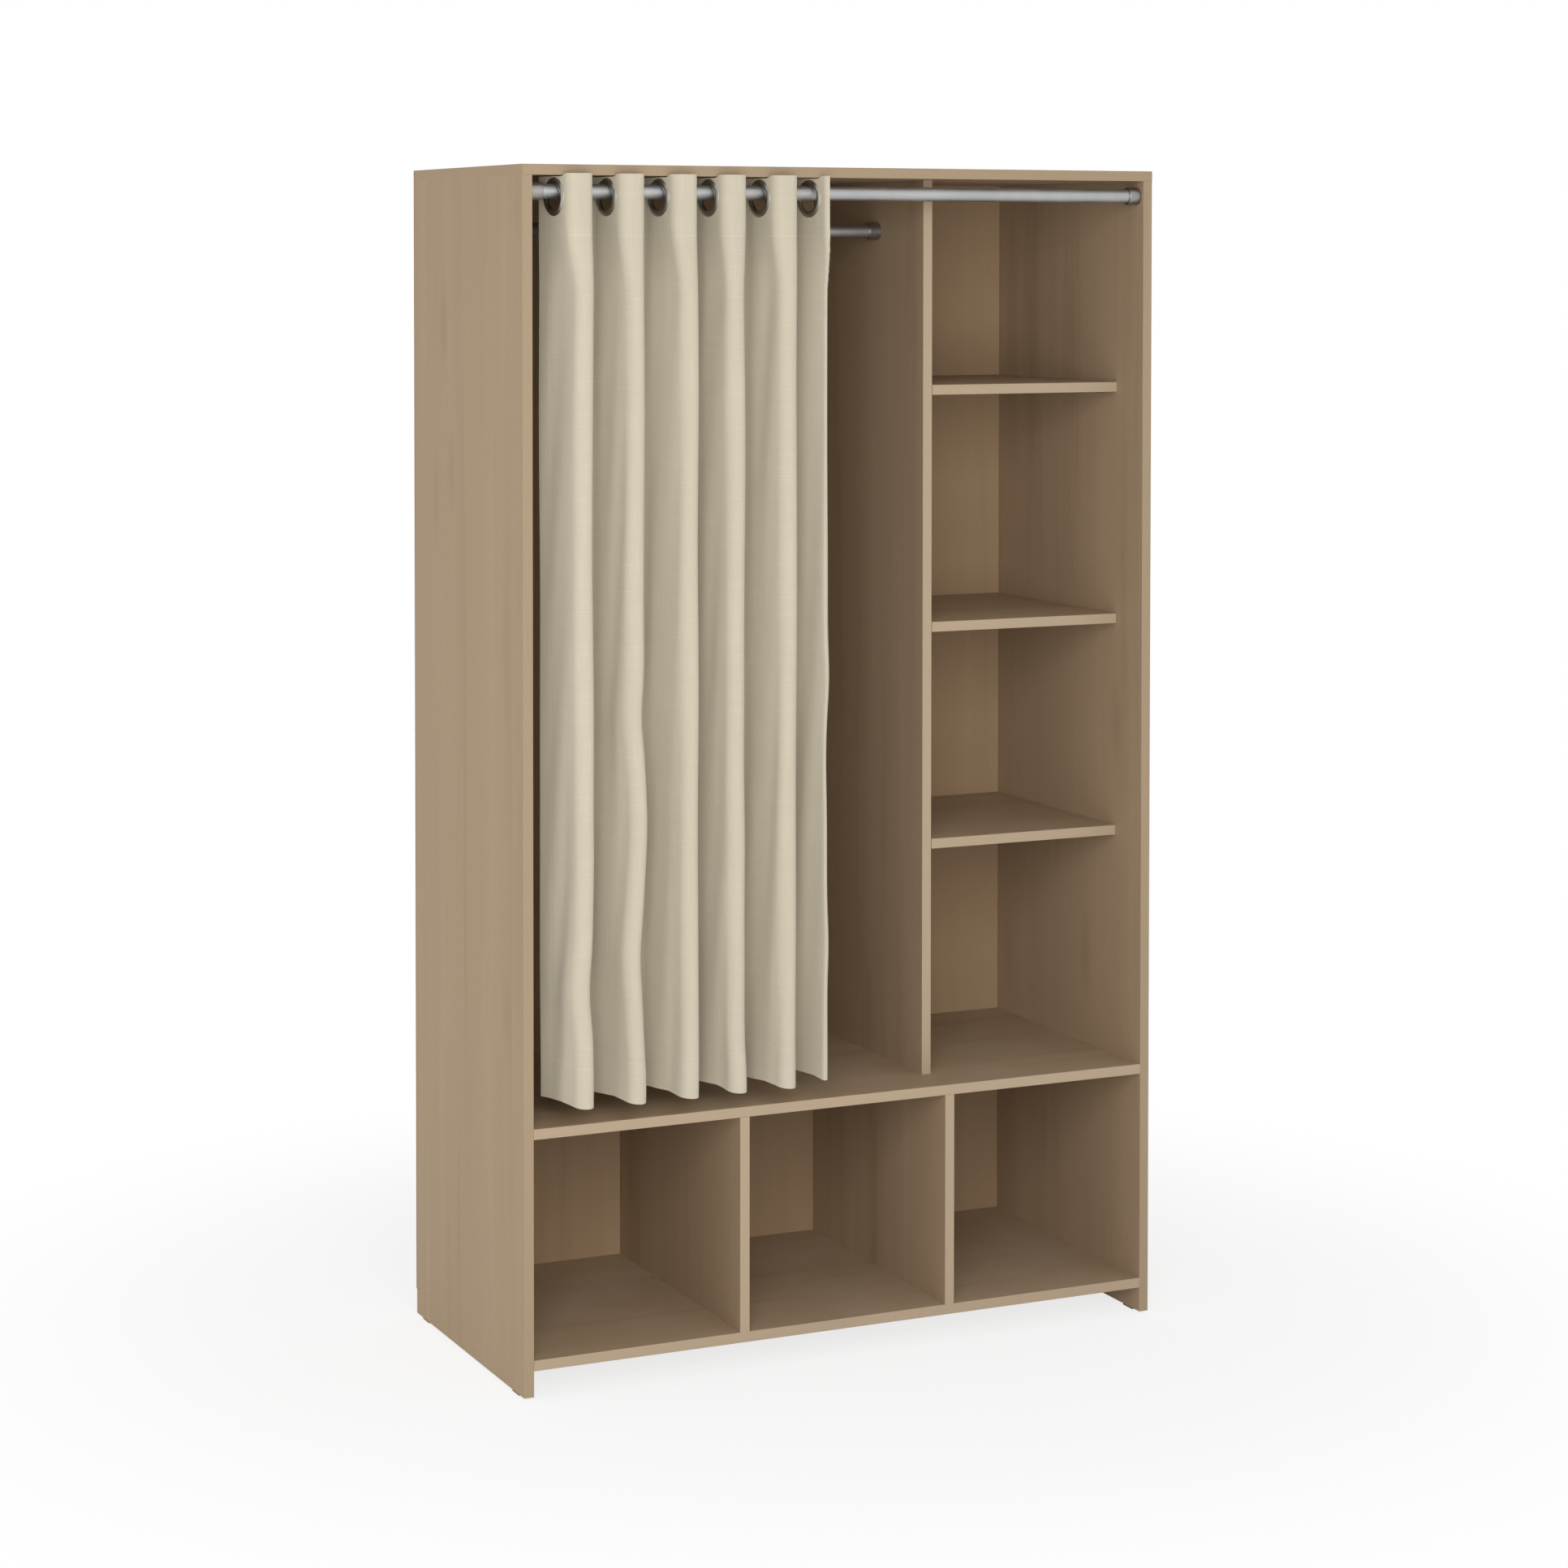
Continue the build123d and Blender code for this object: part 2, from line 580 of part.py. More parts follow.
def fold_line(index, place, drift, depth):
    """Give the corner points of one fold's line in plan, from its left seam to its right seam."""
    start_x = place - eyelet_pitch / 2 + fold_seam_gap / 2 + drift
    end_x = place + eyelet_pitch / 2 - fold_seam_gap / 2 + drift
    middle = place + drift
    if index == eyelet_count - 1:
        edge_share = last_margin / fold_reach
        return [(start_x, rod_y + depth), (middle - last_lean, rod_y + depth),
                (middle + last_lean * edge_share, rod_y - depth * edge_share)]
    if index % 2 == 0:
        return [(start_x, rod_y + depth), (middle - face_lean, rod_y + depth),
                (middle + face_lean, rod_y - depth), (end_x, rod_y - depth)]
    return [(start_x, rod_y - depth), (middle + return_lean, rod_y - depth),
            (middle - return_lean, rod_y + depth), (end_x, rod_y + depth)]


def face_normal(index):
    """Give the direction square to the cloth at an eyelet, on the cloth's front side."""
    if index == eyelet_count - 1:
        return Vector(-fold_reach, -last_lean, 0).normalized()
    if index % 2 == 0:
        return Vector(-fold_reach, -face_lean, 0).normalized()
    return Vector(fold_reach, return_lean, 0).normalized()


for index, place in enumerate(eyelet_places):
    normal = face_normal(index)
    eyelet_centre = Vector(place, rod_y, eyelet_level) - normal * (cloth / 2)

    with BuildPart() as fold:
        for level, depth_share, drift_share in zip(fold_levels, fold_depth_shares, fold_drift_shares):
            corners = fold_line(index, place, drift_share * eyelet_pitch, depth_share * fold_reach)
            with BuildSketch(Plane.XY.offset(level)):
                with BuildLine():
                    spine = FilletPolyline(*corners, radius=fold_radius)
                    offset(spine, amount=cloth, side=Side.LEFT)
                make_face()
        loft(ruled=True)
        with Locations(Plane(origin=eyelet_centre, z_dir=normal)):
            Cylinder(cloth_hole, eyelet_rim, mode=Mode.SUBTRACT)
    export(fold.part, f"curtain_fold_{index + 1:02d}")

    with BuildPart() as eyelet:
        for side, inner in ((1, eyelet_bore), (-1, eyelet_bore + eyelet_barrel + seat_gap)):
            seat = side * cloth / 2
            with BuildSketch(Plane(origin=eyelet_centre, x_dir=UP, z_dir=Vector(*UP).cross(normal))):
                with BuildLine():
                    Line((inner, seat), (eyelet_rim, seat))
                    ThreePointArc((eyelet_rim, seat), ((inner + eyelet_rim) / 2, seat + side * eyelet_dome),
                                  (inner, seat))
                make_face()
            revolve(axis=Axis(eyelet_centre, normal))
        barrel_length = cloth + eyelet_dome / 2
        with BuildSketch(Plane(origin=eyelet_centre + normal * (cloth / 2), z_dir=normal * -1)):
            Circle(eyelet_bore + eyelet_barrel)
            Circle(eyelet_bore, mode=Mode.SUBTRACT)
        extrude(amount=barrel_length)
    export(eyelet.part, f"curtain_eyelet_{index + 1:02d}")
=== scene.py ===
"""Looks of an open oak wardrobe with an eyelet curtain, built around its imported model."""

import logging
import math
from dataclasses import dataclass, field
from enum import Enum
from functools import cache, partial, reduce
from itertools import accumulate
from typing import Any

import bpy
import numpy as np
from mathutils import Matrix, Vector


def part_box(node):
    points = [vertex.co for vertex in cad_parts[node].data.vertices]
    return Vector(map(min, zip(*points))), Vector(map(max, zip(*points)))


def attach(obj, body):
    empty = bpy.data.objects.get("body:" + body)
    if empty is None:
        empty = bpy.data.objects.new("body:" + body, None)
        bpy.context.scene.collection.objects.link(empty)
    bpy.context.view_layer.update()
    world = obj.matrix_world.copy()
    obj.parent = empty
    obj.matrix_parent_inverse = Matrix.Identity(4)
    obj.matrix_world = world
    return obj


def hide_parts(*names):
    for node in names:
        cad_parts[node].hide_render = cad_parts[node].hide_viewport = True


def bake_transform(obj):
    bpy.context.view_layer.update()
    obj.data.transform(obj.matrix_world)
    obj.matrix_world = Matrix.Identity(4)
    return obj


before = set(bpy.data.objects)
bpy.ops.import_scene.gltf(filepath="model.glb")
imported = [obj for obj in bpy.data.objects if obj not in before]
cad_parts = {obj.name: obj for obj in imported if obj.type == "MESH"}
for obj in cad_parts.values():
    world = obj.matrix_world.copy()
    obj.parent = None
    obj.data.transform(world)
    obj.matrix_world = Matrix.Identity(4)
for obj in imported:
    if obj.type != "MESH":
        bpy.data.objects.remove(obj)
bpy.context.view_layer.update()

LOG = logging.getLogger("wardrobe")
MM = 0.001
TINY = 1e-9
FULL_TURN = 2 * math.pi
PHOTO_SIDE = 1932
FACING = (0.80, 0.95)

Colour = tuple[float, float, float]
Place = tuple[float, float, float]
Corner = tuple[int, int, int]
Socket = bpy.types.NodeSocket
Outputs = bpy.types.NodeOutputs
Object = bpy.types.Object
Material = bpy.types.Material
Array = np.ndarray
WHITE: Colour = (1.0, 1.0, 1.0)


def srgb(*display: float) -> Colour:
    """Turn a display colour, its parts from 0 to 255, into the linear one that a shader takes."""
    shares = (part / 255 for part in display)
    return tuple(s / 12.92 if s <= 0.04045 else ((s + 0.055) / 1.055) ** 2.4 for s in shares)


def add_object(data: bpy.types.ID) -> Object:
    """Put a mesh, a lamp or a camera into the scene.

    Args:
        data: What goes in, whose name the object takes.

    Returns:
        The object.
    """
    placed = bpy.data.objects.new(data.name, data)
    bpy.context.scene.collection.objects.link(placed)
    return placed


def empty_tree(owner: Material | bpy.types.World) -> bpy.types.NodeTree:
    """Empty the nodes of a material or a world.

    Args:
        owner: The material or the world.

    Returns:
        Its empty tree.
    """
    owner.use_nodes = True
    owner.node_tree.nodes.clear()
    return owner.node_tree


class Grain(Enum):
    """The way a board's grain runs."""

    ALONG_X = "x"
    ALONG_Z = "z"


class Graph:
    """Adds nodes and links to one shader tree."""

    def __init__(self, tree: bpy.types.NodeTree) -> None:
        """Keep the tree that the nodes go into."""
        self.tree = tree

    def feed(self, sockets: Any, feeds: dict) -> None:
        """Link some of a node's inputs, or set their values.

        Args:
            sockets: The inputs.
            feeds: A socket, a number, a colour or a vector, by each input's name or number.
        """
        for key, value in feeds.items():
            socket = sockets[key]
            if isinstance(value, Socket):
                self.tree.links.new(value, socket)
            elif socket.type == "RGBA" and len(value) == 3:
                socket.default_value = (*value, 1.0)
            else:
                socket.default_value = value

    def add(self, kind: str, feeds: dict | None = None, **settings: Any) -> bpy.types.Node:
        """Add one node.

        Args:
            kind: The node's type without the ShaderNode in front.
            feeds: What goes into its inputs, by their name or number.
            settings: The node's own properties.

        Returns:
            The node.
        """
        node = self.tree.nodes.new("ShaderNode" + kind)
        for key, value in settings.items():
            setattr(node, key, value)
        self.feed(node.inputs, feeds or {})
        return node

    def math(self, operation: str, first: Any, second: Any = 0.0, clamp: bool = False) -> Socket:
        """Do a sum, by Blender's name for it, with numbers or sockets; clamp keeps it from 0 to 1."""
        return self.add("Math", {0: first, 1: second}, operation=operation, use_clamp=clamp).outputs[0]

    def product(self, *values: Any) -> Socket:
        """Multiply numbers or sockets."""
        return reduce(partial(self.math, "MULTIPLY"), values)

    def total(self, *values: Any) -> Socket:
        """Add up numbers or sockets."""
        return reduce(partial(self.math, "ADD"), values)

    def less(self, first: Any, second: Any, clamp: bool = False) -> Socket:
        """Take the second number or socket from the first."""
        return self.math("SUBTRACT", first, second, clamp)

    def spread(self, value: Any, low: float, high: float, to_low: float = 0.0,
               to_high: float = 1.0) -> Socket:
        """Map a value smoothly from one range, low to high, to another."""
        feeds = {0: value, 1: low, 2: high, 3: to_low, 4: to_high}
        return self.add("MapRange", feeds, interpolation_type="SMOOTHSTEP").outputs[0]

    def blend(self, share: Any, first: Any, second: Any) -> Socket:
        """Blend two numbers, by the share of the second."""
        return self.add("Mix", {0: share, 2: first, 3: second}, data_type="FLOAT").outputs[0]

    def mix(self, share: Any, first: Any, second: Any) -> Socket:
        """Mix two colours, by the share of the second."""
        return self.add("Mix", {0: share, 6: first, 7: second}, data_type="RGBA").outputs[2]

    def split(self, vector: Any) -> Outputs:
        """Give the X, Y and Z outputs of a vector."""
        return self.add("SeparateXYZ", {0: vector}).outputs

    def join(self, x: Any, y: Any, z: Any) -> Socket:
        """Make a vector of three parts."""
        return self.add("CombineXYZ", {0: x, 1: y, 2: z}).outputs[0]

    def times(self, vector: Any, factors: Place) -> Socket:
        """Multiply a vector's parts by three factors."""
        return self.add("VectorMath", {0: vector, 1: factors}, operation="MULTIPLY").outputs[0]

    def noise(self, vector: Any, scale: float | Place, detail: float = 2.0, roughness: float = 0.5,
              distortion: float = 0.0) -> Socket:
        """Add a noise texture and give its value.

        Args:
            vector: Where the noise is read.
            scale: How fine it is, as one number or as one for each axis.
            detail: How many finer layers it has.
            roughness: How strong the finer layers are.
            distortion: How far it is bent.

        Returns:
            The value's socket.
        """
        if isinstance(scale, tuple):
            vector, scale = self.times(vector, scale), 1.0
        feeds = {"Vector": vector, "Scale": scale, "Detail": detail, "Roughness": roughness,
                 "Distortion": distortion}
        return self.add("TexNoise", feeds).outputs[0]

    def bump(self, height: Socket, strength: float, distance: float, **others: Socket) -> Socket:
        """Turn a height into a normal, on the bump below it where others names its Normal."""
        feeds = {"Strength": strength, "Distance": distance, "Height": height}
        return self.add("Bump", feeds | others).outputs[0]

    def seen_by(self, *rays: str) -> Socket:
        """Give 1 to the named kinds of ray and 0 to the others."""
        path = self.add("LightPath").outputs
        return reduce(partial(self.math, "MAXIMUM"), [path[f"Is {ray} Ray"] for ray in rays])


class Effect(Graph):
    """A shader node group with named inputs and outputs, built once and used in many materials."""

    def __init__(self, name: str, inputs: dict[str, Any], outputs: dict[str, str]) -> None:
        """Make the group and its sockets.

        Args:
            name: The group's name.
            inputs: Each input's name and its standard value; None stands for a vector.
            outputs: Each output's name and kind, Float, Color or Vector.
        """
        super().__init__(bpy.data.node_groups.new(name, "ShaderNodeTree"))
        for key, value in inputs.items():
            kind = "Vector" if value is None else "Color" if isinstance(value, tuple) else "Float"
            socket = self.tree.interface.new_socket(key, in_out="INPUT", socket_type="NodeSocket" + kind)
            if value is not None:
                socket.default_value = (*value, 1.0) if kind == "Color" else value
        for key, kind in outputs.items():
            self.tree.interface.new_socket(key, in_out="OUTPUT", socket_type="NodeSocket" + kind)
        self.given = self.tree.nodes.new("NodeGroupInput").outputs
        self.result = self.tree.nodes.new("NodeGroupOutput").inputs

    def give(self, **values: Any) -> None:
        """Feed the group's outputs, by name."""
        self.feed(self.result, values)

    def place(self, graph: Graph, **feeds: Any) -> Outputs:
        """Put the group into a material, with its inputs by name."""
        return graph.add("Group", feeds, node_tree=self.tree).outputs


@cache
def oak_print() -> Effect:
    """Make the oak print: figure, fibres, pores and knots along the vector's X.

    Returns:
        The effect, with Color, Height and Rough outputs.
    """
    oak = Effect("OakPrint", {"Vector": None, "Light": srgb(190, 168, 142), "Mid": srgb(174, 152, 127),
                              "Dark": srgb(140, 118, 94), "Contrast": 1.0},
                 {"Color": "Color", "Height": "Float", "Rough": "Float"})
    straight, dark = oak.given["Vector"], oak.given["Dark"]
    sway = oak.product(oak.noise(straight, (0.9, 5.0, 5.0)), 0.09)
    bent = oak.add("VectorMath", {0: straight, 1: oak.join(0.0, sway, 0.0)}, operation="ADD").outputs[0]
    figure = oak.noise(bent, (0.8, 26.0, 26.0), detail=4.0, roughness=0.55, distortion=0.4)
    broad = oak.noise(bent, (0.7, 7.0, 7.0), distortion=0.3)
    fibres = oak.noise(bent, (9.0, 480.0, 480.0), detail=3.0, roughness=0.6)
    pores = oak.noise(bent, (60.0, 1500.0, 1500.0), detail=1.0)
    pore_mask = oak.product(oak.spread(pores, 0.60, 0.70), oak.spread(figure, 0.42, 0.60))
    knots = oak.add("TexVoronoi", {"Vector": oak.times(bent, (1.9, 7.5, 7.5)), "Scale": 1.0}, feature="F1")
    knot_mask = oak.spread(knots.outputs[0], 0.02, 0.20, 1.0, 0.0)
    tone = oak.total(oak.product(oak.spread(figure, 0.30, 0.70), 0.55),
                     oak.product(oak.spread(broad, 0.32, 0.68), 0.45))
    streak = oak.product(oak.less(fibres, 0.5), 0.55)
    contrasted = oak.product(oak.total(oak.less(tone, 0.5), streak), oak.given["Contrast"])
    value = oak.math("ADD", contrasted, 0.5, clamp=True)
    lower = oak.mix(oak.spread(value, 0.0, 0.5), dark, oak.given["Mid"])
    plain = oak.mix(oak.spread(value, 0.5, 1.0), lower, oak.given["Light"])
    pored = oak.mix(oak.product(pore_mask, 0.45), plain, dark)
    oak.give(Color=oak.mix(oak.product(knot_mask, 0.35), pored, dark),
             Height=oak.less(oak.product(fibres, 0.4), pore_mask),
             Rough=oak.spread(fibres, 0.2, 0.8, -0.04, 0.05))
    return oak


@cache
def pressed_flakes() -> Effect:
    """Make raw pressed board: pale and dark flakes.

    Returns:
        The effect, with Color and Height outputs.
    """
    board = Effect("PressedFlakes", {"Vector": None, "Pale": srgb(196, 166, 124), "Deep": srgb(142, 108, 70),
                                     "Flakes": 420.0}, {"Color": "Color", "Height": "Float"})
    where = board.given["Vector"]
    cells = board.add("TexVoronoi", {"Vector": where, "Scale": board.given["Flakes"], "Randomness": 1.0})
    dust = board.noise(where, 900.0)
    shade = board.total(board.product(board.split(cells.outputs[1])[0], 0.7), board.product(dust, 0.3))
    board.give(Color=board.mix(shade, board.given["Deep"], board.given["Pale"]), Height=shade)
    return board


@cache
def plain_weave() -> Effect:
    """Make a plain weave with slubs, read in the flat cloth's metres.

    Returns:
        The effect, with Height and Tone outputs.
    """
    weave = Effect("PlainWeave", {"Vector": None, "Threads": 1100.0}, {"Height": "Float", "Tone": "Float"})
    flat = weave.given["Vector"]
    turn = weave.product(weave.given["Threads"], math.pi)
    across, down = (weave.math("SINE", weave.product(part, turn)) for part in weave.split(flat)[:2])
    check = weave.math("GREATER_THAN", weave.product(across, down), 0.0)
    warp = weave.product(weave.math("ABSOLUTE", across), check)
    weft = weave.product(weave.math("ABSOLUTE", down), weave.less(1.0, check))
    thick = (weave.noise(flat, scale) for scale in ((700.0, 14.0, 1.0), (14.0, 700.0, 1.0)))
    slubs = weave.total(*(weave.spread(thread, 0.52, 0.75) for thread in thick))
    cloud = weave.noise(flat, 9.0)
    weave.give(Height=weave.total(warp, weft, weave.product(slubs, 0.6)),
               Tone=weave.total(weave.product(slubs, 0.5), weave.product(cloud, 0.5)))
    return weave


@cache
def stitch_row() -> Effect:
    """Make one row of stitches along a line of the flat cloth.

    Returns:
        The effect, with Thread and Pinch outputs.
    """
    seam = Effect("StitchRow", {"Along": 0.0, "Across": 0.0, "Line": 0.0, "Stitch": 3.4 * MM, "Sewn": 0.72,
                                "Width": 0.5 * MM, "Pull": 2.2 * MM}, {"Thread": "Float", "Pinch": "Float"})
    given = seam.given
    off = seam.math("ABSOLUTE", seam.less(given["Across"], given["Line"]))
    near = seam.math("LESS_THAN", off, given["Width"])
    phase = seam.math("FRACT", seam.math("DIVIDE", given["Along"], given["Stitch"]))
    dash = seam.math("LESS_THAN", phase, given["Sewn"])
    seam.give(Thread=seam.product(near, dash),
              Pinch=seam.less(1.0, seam.math("DIVIDE", off, given["Pull"]), clamp=True))
    return seam


@cache
def drawn_lines() -> Effect:
    """Make fine drawn lines on metal along the vector's X.

    Returns:
        The effect, with Height, Rough and Tone outputs.
    """
    drawn = Effect("DrawnLines", {"Vector": None, "Fineness": 900.0},
                   {"Height": "Float", "Rough": "Float", "Tone": "Float"})
    where = drawn.given["Vector"]
    fine = drawn.add("VectorMath", {0: drawn.times(where, (0.02, 1.0, 1.0)), 3: drawn.given["Fineness"]},
                     operation="SCALE").outputs[0]
    lines = drawn.noise(fine, 1.0, detail=3.0, roughness=0.6)
    clouds = drawn.noise(where, 18.0)
    rough = drawn.spread(drawn.total(lines, clouds), 0.6, 1.4, -0.05, 0.07)
    drawn.give(Height=lines, Rough=rough, Tone=clouds)
    return drawn


@cache
def dust_veil() -> Effect:
    """Make a thin uneven veil of dust on faces that look up.

    Returns:
        The effect, with a Mask output.
    """
    veil = Effect("DustVeil", {"Vector": None, "Normal": None, "Amount": 0.3}, {"Mask": "Float"})
    upward = veil.spread(veil.split(veil.given["Normal"])[2], 0.55, 0.95)
    cloud = veil.spread(veil.noise(veil.given["Vector"], 7.0, detail=4.0), 0.35, 0.75)
    veil.give(Mask=veil.product(upward, cloud, veil.given["Amount"]))
    return veil


class Coat(Graph):
    """A material: one Principled shader and the nodes that feed it."""

    def __init__(self, name: str) -> None:
        """Make the material and its shader.

        Args:
            name: The material's name.
        """
        self.material = bpy.data.materials.new(name)
        super().__init__(empty_tree(self.material))
        self.shader = self.add("BsdfPrincipled")
        self.add("OutputMaterial", {"Surface": self.shader.outputs[0]})

    def places(self) -> tuple[Socket, Socket]:
        """Give the object's own coordinates and normal."""
        outputs = self.add("TexCoord").outputs
        return outputs["Object"], outputs["Normal"]

    def paint(self, feeds: dict[str, Any]) -> Material:
        """Feed the shader's inputs by their names, and give the finished material."""
        self.feed(self.shader.inputs, feeds)
        return self.material


@dataclass(frozen=True)
class Paper:
    """The tones of a printed oak paper."""

    light: Colour
    mid: Colour
    dark: Colour
    contrast: float

    def lay(self, coat: Coat, vector: Socket) -> Outputs:
        """Put the print into a coat, with the grain along the vector's X."""
        return oak_print().place(coat, Vector=vector, Light=self.light, Mid=self.mid, Dark=self.dark,
                                 Contrast=self.contrast)


@dataclass(frozen=True)
class BoardFinish:
    """Pressed board faced with an oak print, its front edges banded, its hidden edges raw."""

    paper: Paper = Paper(srgb(178, 155, 128), srgb(167, 144, 117), srgb(144, 120, 94), 0.5)
    shine: float = 0.12
    band: Colour = srgb(155, 138, 114)
    band_share: float = 0.55
    band_thickness: float = 0.8 * MM
    seam: Colour = srgb(120, 99, 77)
    seam_share: float = 0.6
    seam_width: float = 0.12 * MM
    dust: Colour = srgb(205, 200, 192)
    dust_amount: float = 0.10
    roughness: float = 0.55
    raw_roughness: float = 0.3
    print_steps: Place = (3.1, 1.0, 1.7)

    def dress(self, node: str, grain: Grain, seed: float, ends_banded: bool = False) -> None:
        """Give one board its own piece of the print.

        Args:
            node: The board's node.
            grain: The way the grain runs.
            seed: Where in the print this board was cut.
            ends_banded: Whether its ends show and are banded too.
        """
        coat = Coat("oak_" + node)
        low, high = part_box(node)
        where, normal = coat.places()
        x, y, z = coat.split(where)
        facing = coat.split(normal)
        along, across, end = (z, x, facing[2]) if grain is Grain.ALONG_Z else (x, z, facing[0])
        through, at_end = y, coat.spread(coat.math("ABSOLUTE", end), *FACING)
        if ends_banded:
            along, through = coat.blend(at_end, along, through), coat.blend(at_end, through, along)
        parts = zip((along, across, through), self.print_steps)
        oak = self.paper.lay(coat, coat.join(*(coat.total(part, seed * step) for part, step in parts)))
        depth = coat.less(y, low.y)
        at_front = coat.math("LESS_THAN", depth, self.band_thickness)
        at_seam = coat.add("Math", {0: depth, 1: self.band_thickness, 2: self.seam_width},
                           operation="COMPARE").outputs[0]
        band = coat.mix(self.band_share, oak["Color"], self.band)
        faced = coat.mix(at_front, oak["Color"], band)
        lined = coat.mix(coat.product(at_seam, self.seam_share), faced, self.seam)
        flakes = pressed_flakes().place(coat, Vector=where)
        raw = coat.math("MAXIMUM", coat.spread(facing[1], *FACING), 0.0 if ends_banded else at_end)
        dust = dust_veil().place(coat, Vector=where, Normal=normal, Amount=self.dust_amount)
        colour = coat.mix(dust["Mask"], coat.mix(raw, lined, flakes["Color"]), self.dust)
        rough = coat.total(oak["Rough"], self.roughness, coat.product(raw, self.raw_roughness))
        height = coat.total(coat.product(oak["Height"], coat.less(1.0, raw)),
                            coat.product(flakes["Height"], raw))
        bump = coat.bump(height, strength=0.35, distance=0.15 * MM)
        put_on(node, coat.paint({"Base Color": colour, "Roughness": rough, "Normal": bump,
                                 "Specular IOR Level": self.shine}))
        LOG.info("%s: oak print along %s, %.0f mm high", node, grain.value, (high.z - low.z) / MM)


@dataclass(frozen=True)
class BackFinish:
    """Thin hardboard: oak print inside, bare brown fibre behind."""

    paper: Paper = Paper(srgb(175, 150, 121), srgb(164, 139, 110), srgb(142, 116, 88), 0.4)
    shine: float = 0.15
    fibre: Colour = srgb(172, 138, 102)
    fibre_dark: Colour = srgb(138, 104, 72)
    cloud_share: float = 0.12
    printed_roughness: float = 0.55
    bare_roughness: float = 0.85

    def dress(self, node: str, seed: float) -> None:
        """Finish one sheet of the back.

        Args:
            node: The sheet's node.
            seed: Where in the print it was cut.
        """
        coat = Coat("hardboard_" + node)
        where, normal = coat.places()
        x, y, z = coat.split(where)
        inner = coat.spread(coat.split(normal)[1], -0.9, -0.7, 1.0, 0.0)
        oak = self.paper.lay(coat, coat.join(coat.total(z, seed), coat.total(x, seed), y))
        fibres = coat.noise(where, (260.0, 260.0, 420.0), detail=4.0, roughness=0.65)
        clouds = coat.noise(where, 5.0, detail=3.0)
        felt = coat.total(coat.product(fibres, 1 - self.cloud_share), coat.product(clouds, self.cloud_share))
        bare = coat.mix(coat.spread(felt, 0.35, 0.65), self.fibre_dark, self.fibre)
        rough = coat.spread(inner, 0.0, 1.0, self.bare_roughness, self.printed_roughness)
        bump = coat.bump(fibres, strength=0.4, distance=0.2 * MM)
        colour = coat.mix(inner, bare, oak["Color"])
        put_on(node, coat.paint({"Base Color": colour, "Roughness": rough, "Normal": bump,
                                 "Specular IOR Level": self.shine}))
        LOG.info("%s: print inside, bare fibre behind", node)


@dataclass(frozen=True)
class MetalFinish:
    """A metal surface with drawn lines, cloudy sheen and a little handling."""

    name: str
    colour: Colour
    worn: Colour
    roughness: float
    fineness: float = 900.0
    line_depth: float = 0.04 * MM

    def material(self) -> Material:
        """Make the metal's material.

        Returns:
            The material, with lines along X.
        """
        coat = Coat(self.name)
        drawn = drawn_lines().place(coat, Vector=coat.places()[0], Fineness=self.fineness)
        tone = coat.mix(coat.spread(drawn["Tone"], 0.35, 0.70), self.colour, self.worn)
        rough = coat.math("ADD", drawn["Rough"], self.roughness, clamp=True)
        bump = coat.bump(drawn["Height"], strength=0.5, distance=self.line_depth)
        return coat.paint({"Base Color": tone, "Roughness": rough, "Normal": bump, "Metallic": 1.0})


@dataclass(frozen=True)
class ClothFinish:
    """Cream plain-woven cotton with sewn header and hems."""

    light: Colour = srgb(198, 189, 170)
    deep: Colour = srgb(190, 181, 161)
    thread: Colour = srgb(203, 195, 176)
    roughness: float = 0.9
    sheen: float = 0.15
    sheen_roughness: float = 0.5
    shine: float = 0.25

    def material(self, width: float, header_line: float, hem_line: float, side_line: float) -> Material:
        """Make the cloth's material.

        Args:
            width: The whole flat width.
            header_line: Where the header's stitches run, up from the hem.
            hem_line: Where the hem's stitches run.
            side_line: How far in from each side edge the stitches run.

        Returns:
            The material, which reads the flat cloth's own map.
        """
        coat = Coat("cream_cotton")
        flat = coat.add("UVMap", uv_map="flat_cloth").outputs[0]
        across, up, _ = coat.split(flat)
        weave = plain_weave().place(coat, Vector=flat)
        colour = coat.mix(coat.spread(weave["Tone"], 0.10, 0.95), self.deep, self.light)
        rows = ((across, up, header_line), (across, up, hem_line), (up, across, side_line),
                (up, across, width - side_line))
        thread, pinch = 0.0, 0.0
        for run, off, line in rows:
            row = stitch_row().place(coat, Along=run, Across=off, Line=line)
            thread = coat.math("MAXIMUM", thread, row["Thread"])
            pinch = coat.math("MAXIMUM", pinch, row["Pinch"])
        woven = coat.bump(weave["Height"], strength=0.35, distance=0.12 * MM)
        sewn = coat.less(coat.product(thread, 0.8), pinch)
        seamed = coat.bump(sewn, strength=0.4, distance=0.4 * MM, Normal=woven)
        return coat.paint({"Base Color": coat.mix(thread, colour, self.thread), "Roughness": self.roughness,
                           "Sheen Weight": self.sheen, "Sheen Roughness": self.sheen_roughness,
                           "Specular IOR Level": self.shine, "Normal": seamed})


@dataclass(frozen=True)
class PlasticFinish:
    """Moulded plastic with a fine spark texture and scuffs."""

    name: str
    colour: Colour
    scuffed: Colour

    def material(self) -> Material:
        """Make the plastic's material.

        Returns:
            The material.
        """
        coat = Coat(self.name)
        where, _ = coat.places()
        spark = coat.noise(where, 1600.0)
        scuff = coat.spread(coat.noise(where, 90.0, detail=4.0), 0.55, 0.75)
        return coat.paint({"Base Color": coat.mix(scuff, self.colour, self.scuffed),
                           "Roughness": coat.spread(scuff, 0.0, 1.0, 0.45, 0.65),
                           "Normal": coat.bump(spark, strength=0.3, distance=0.05 * MM)})


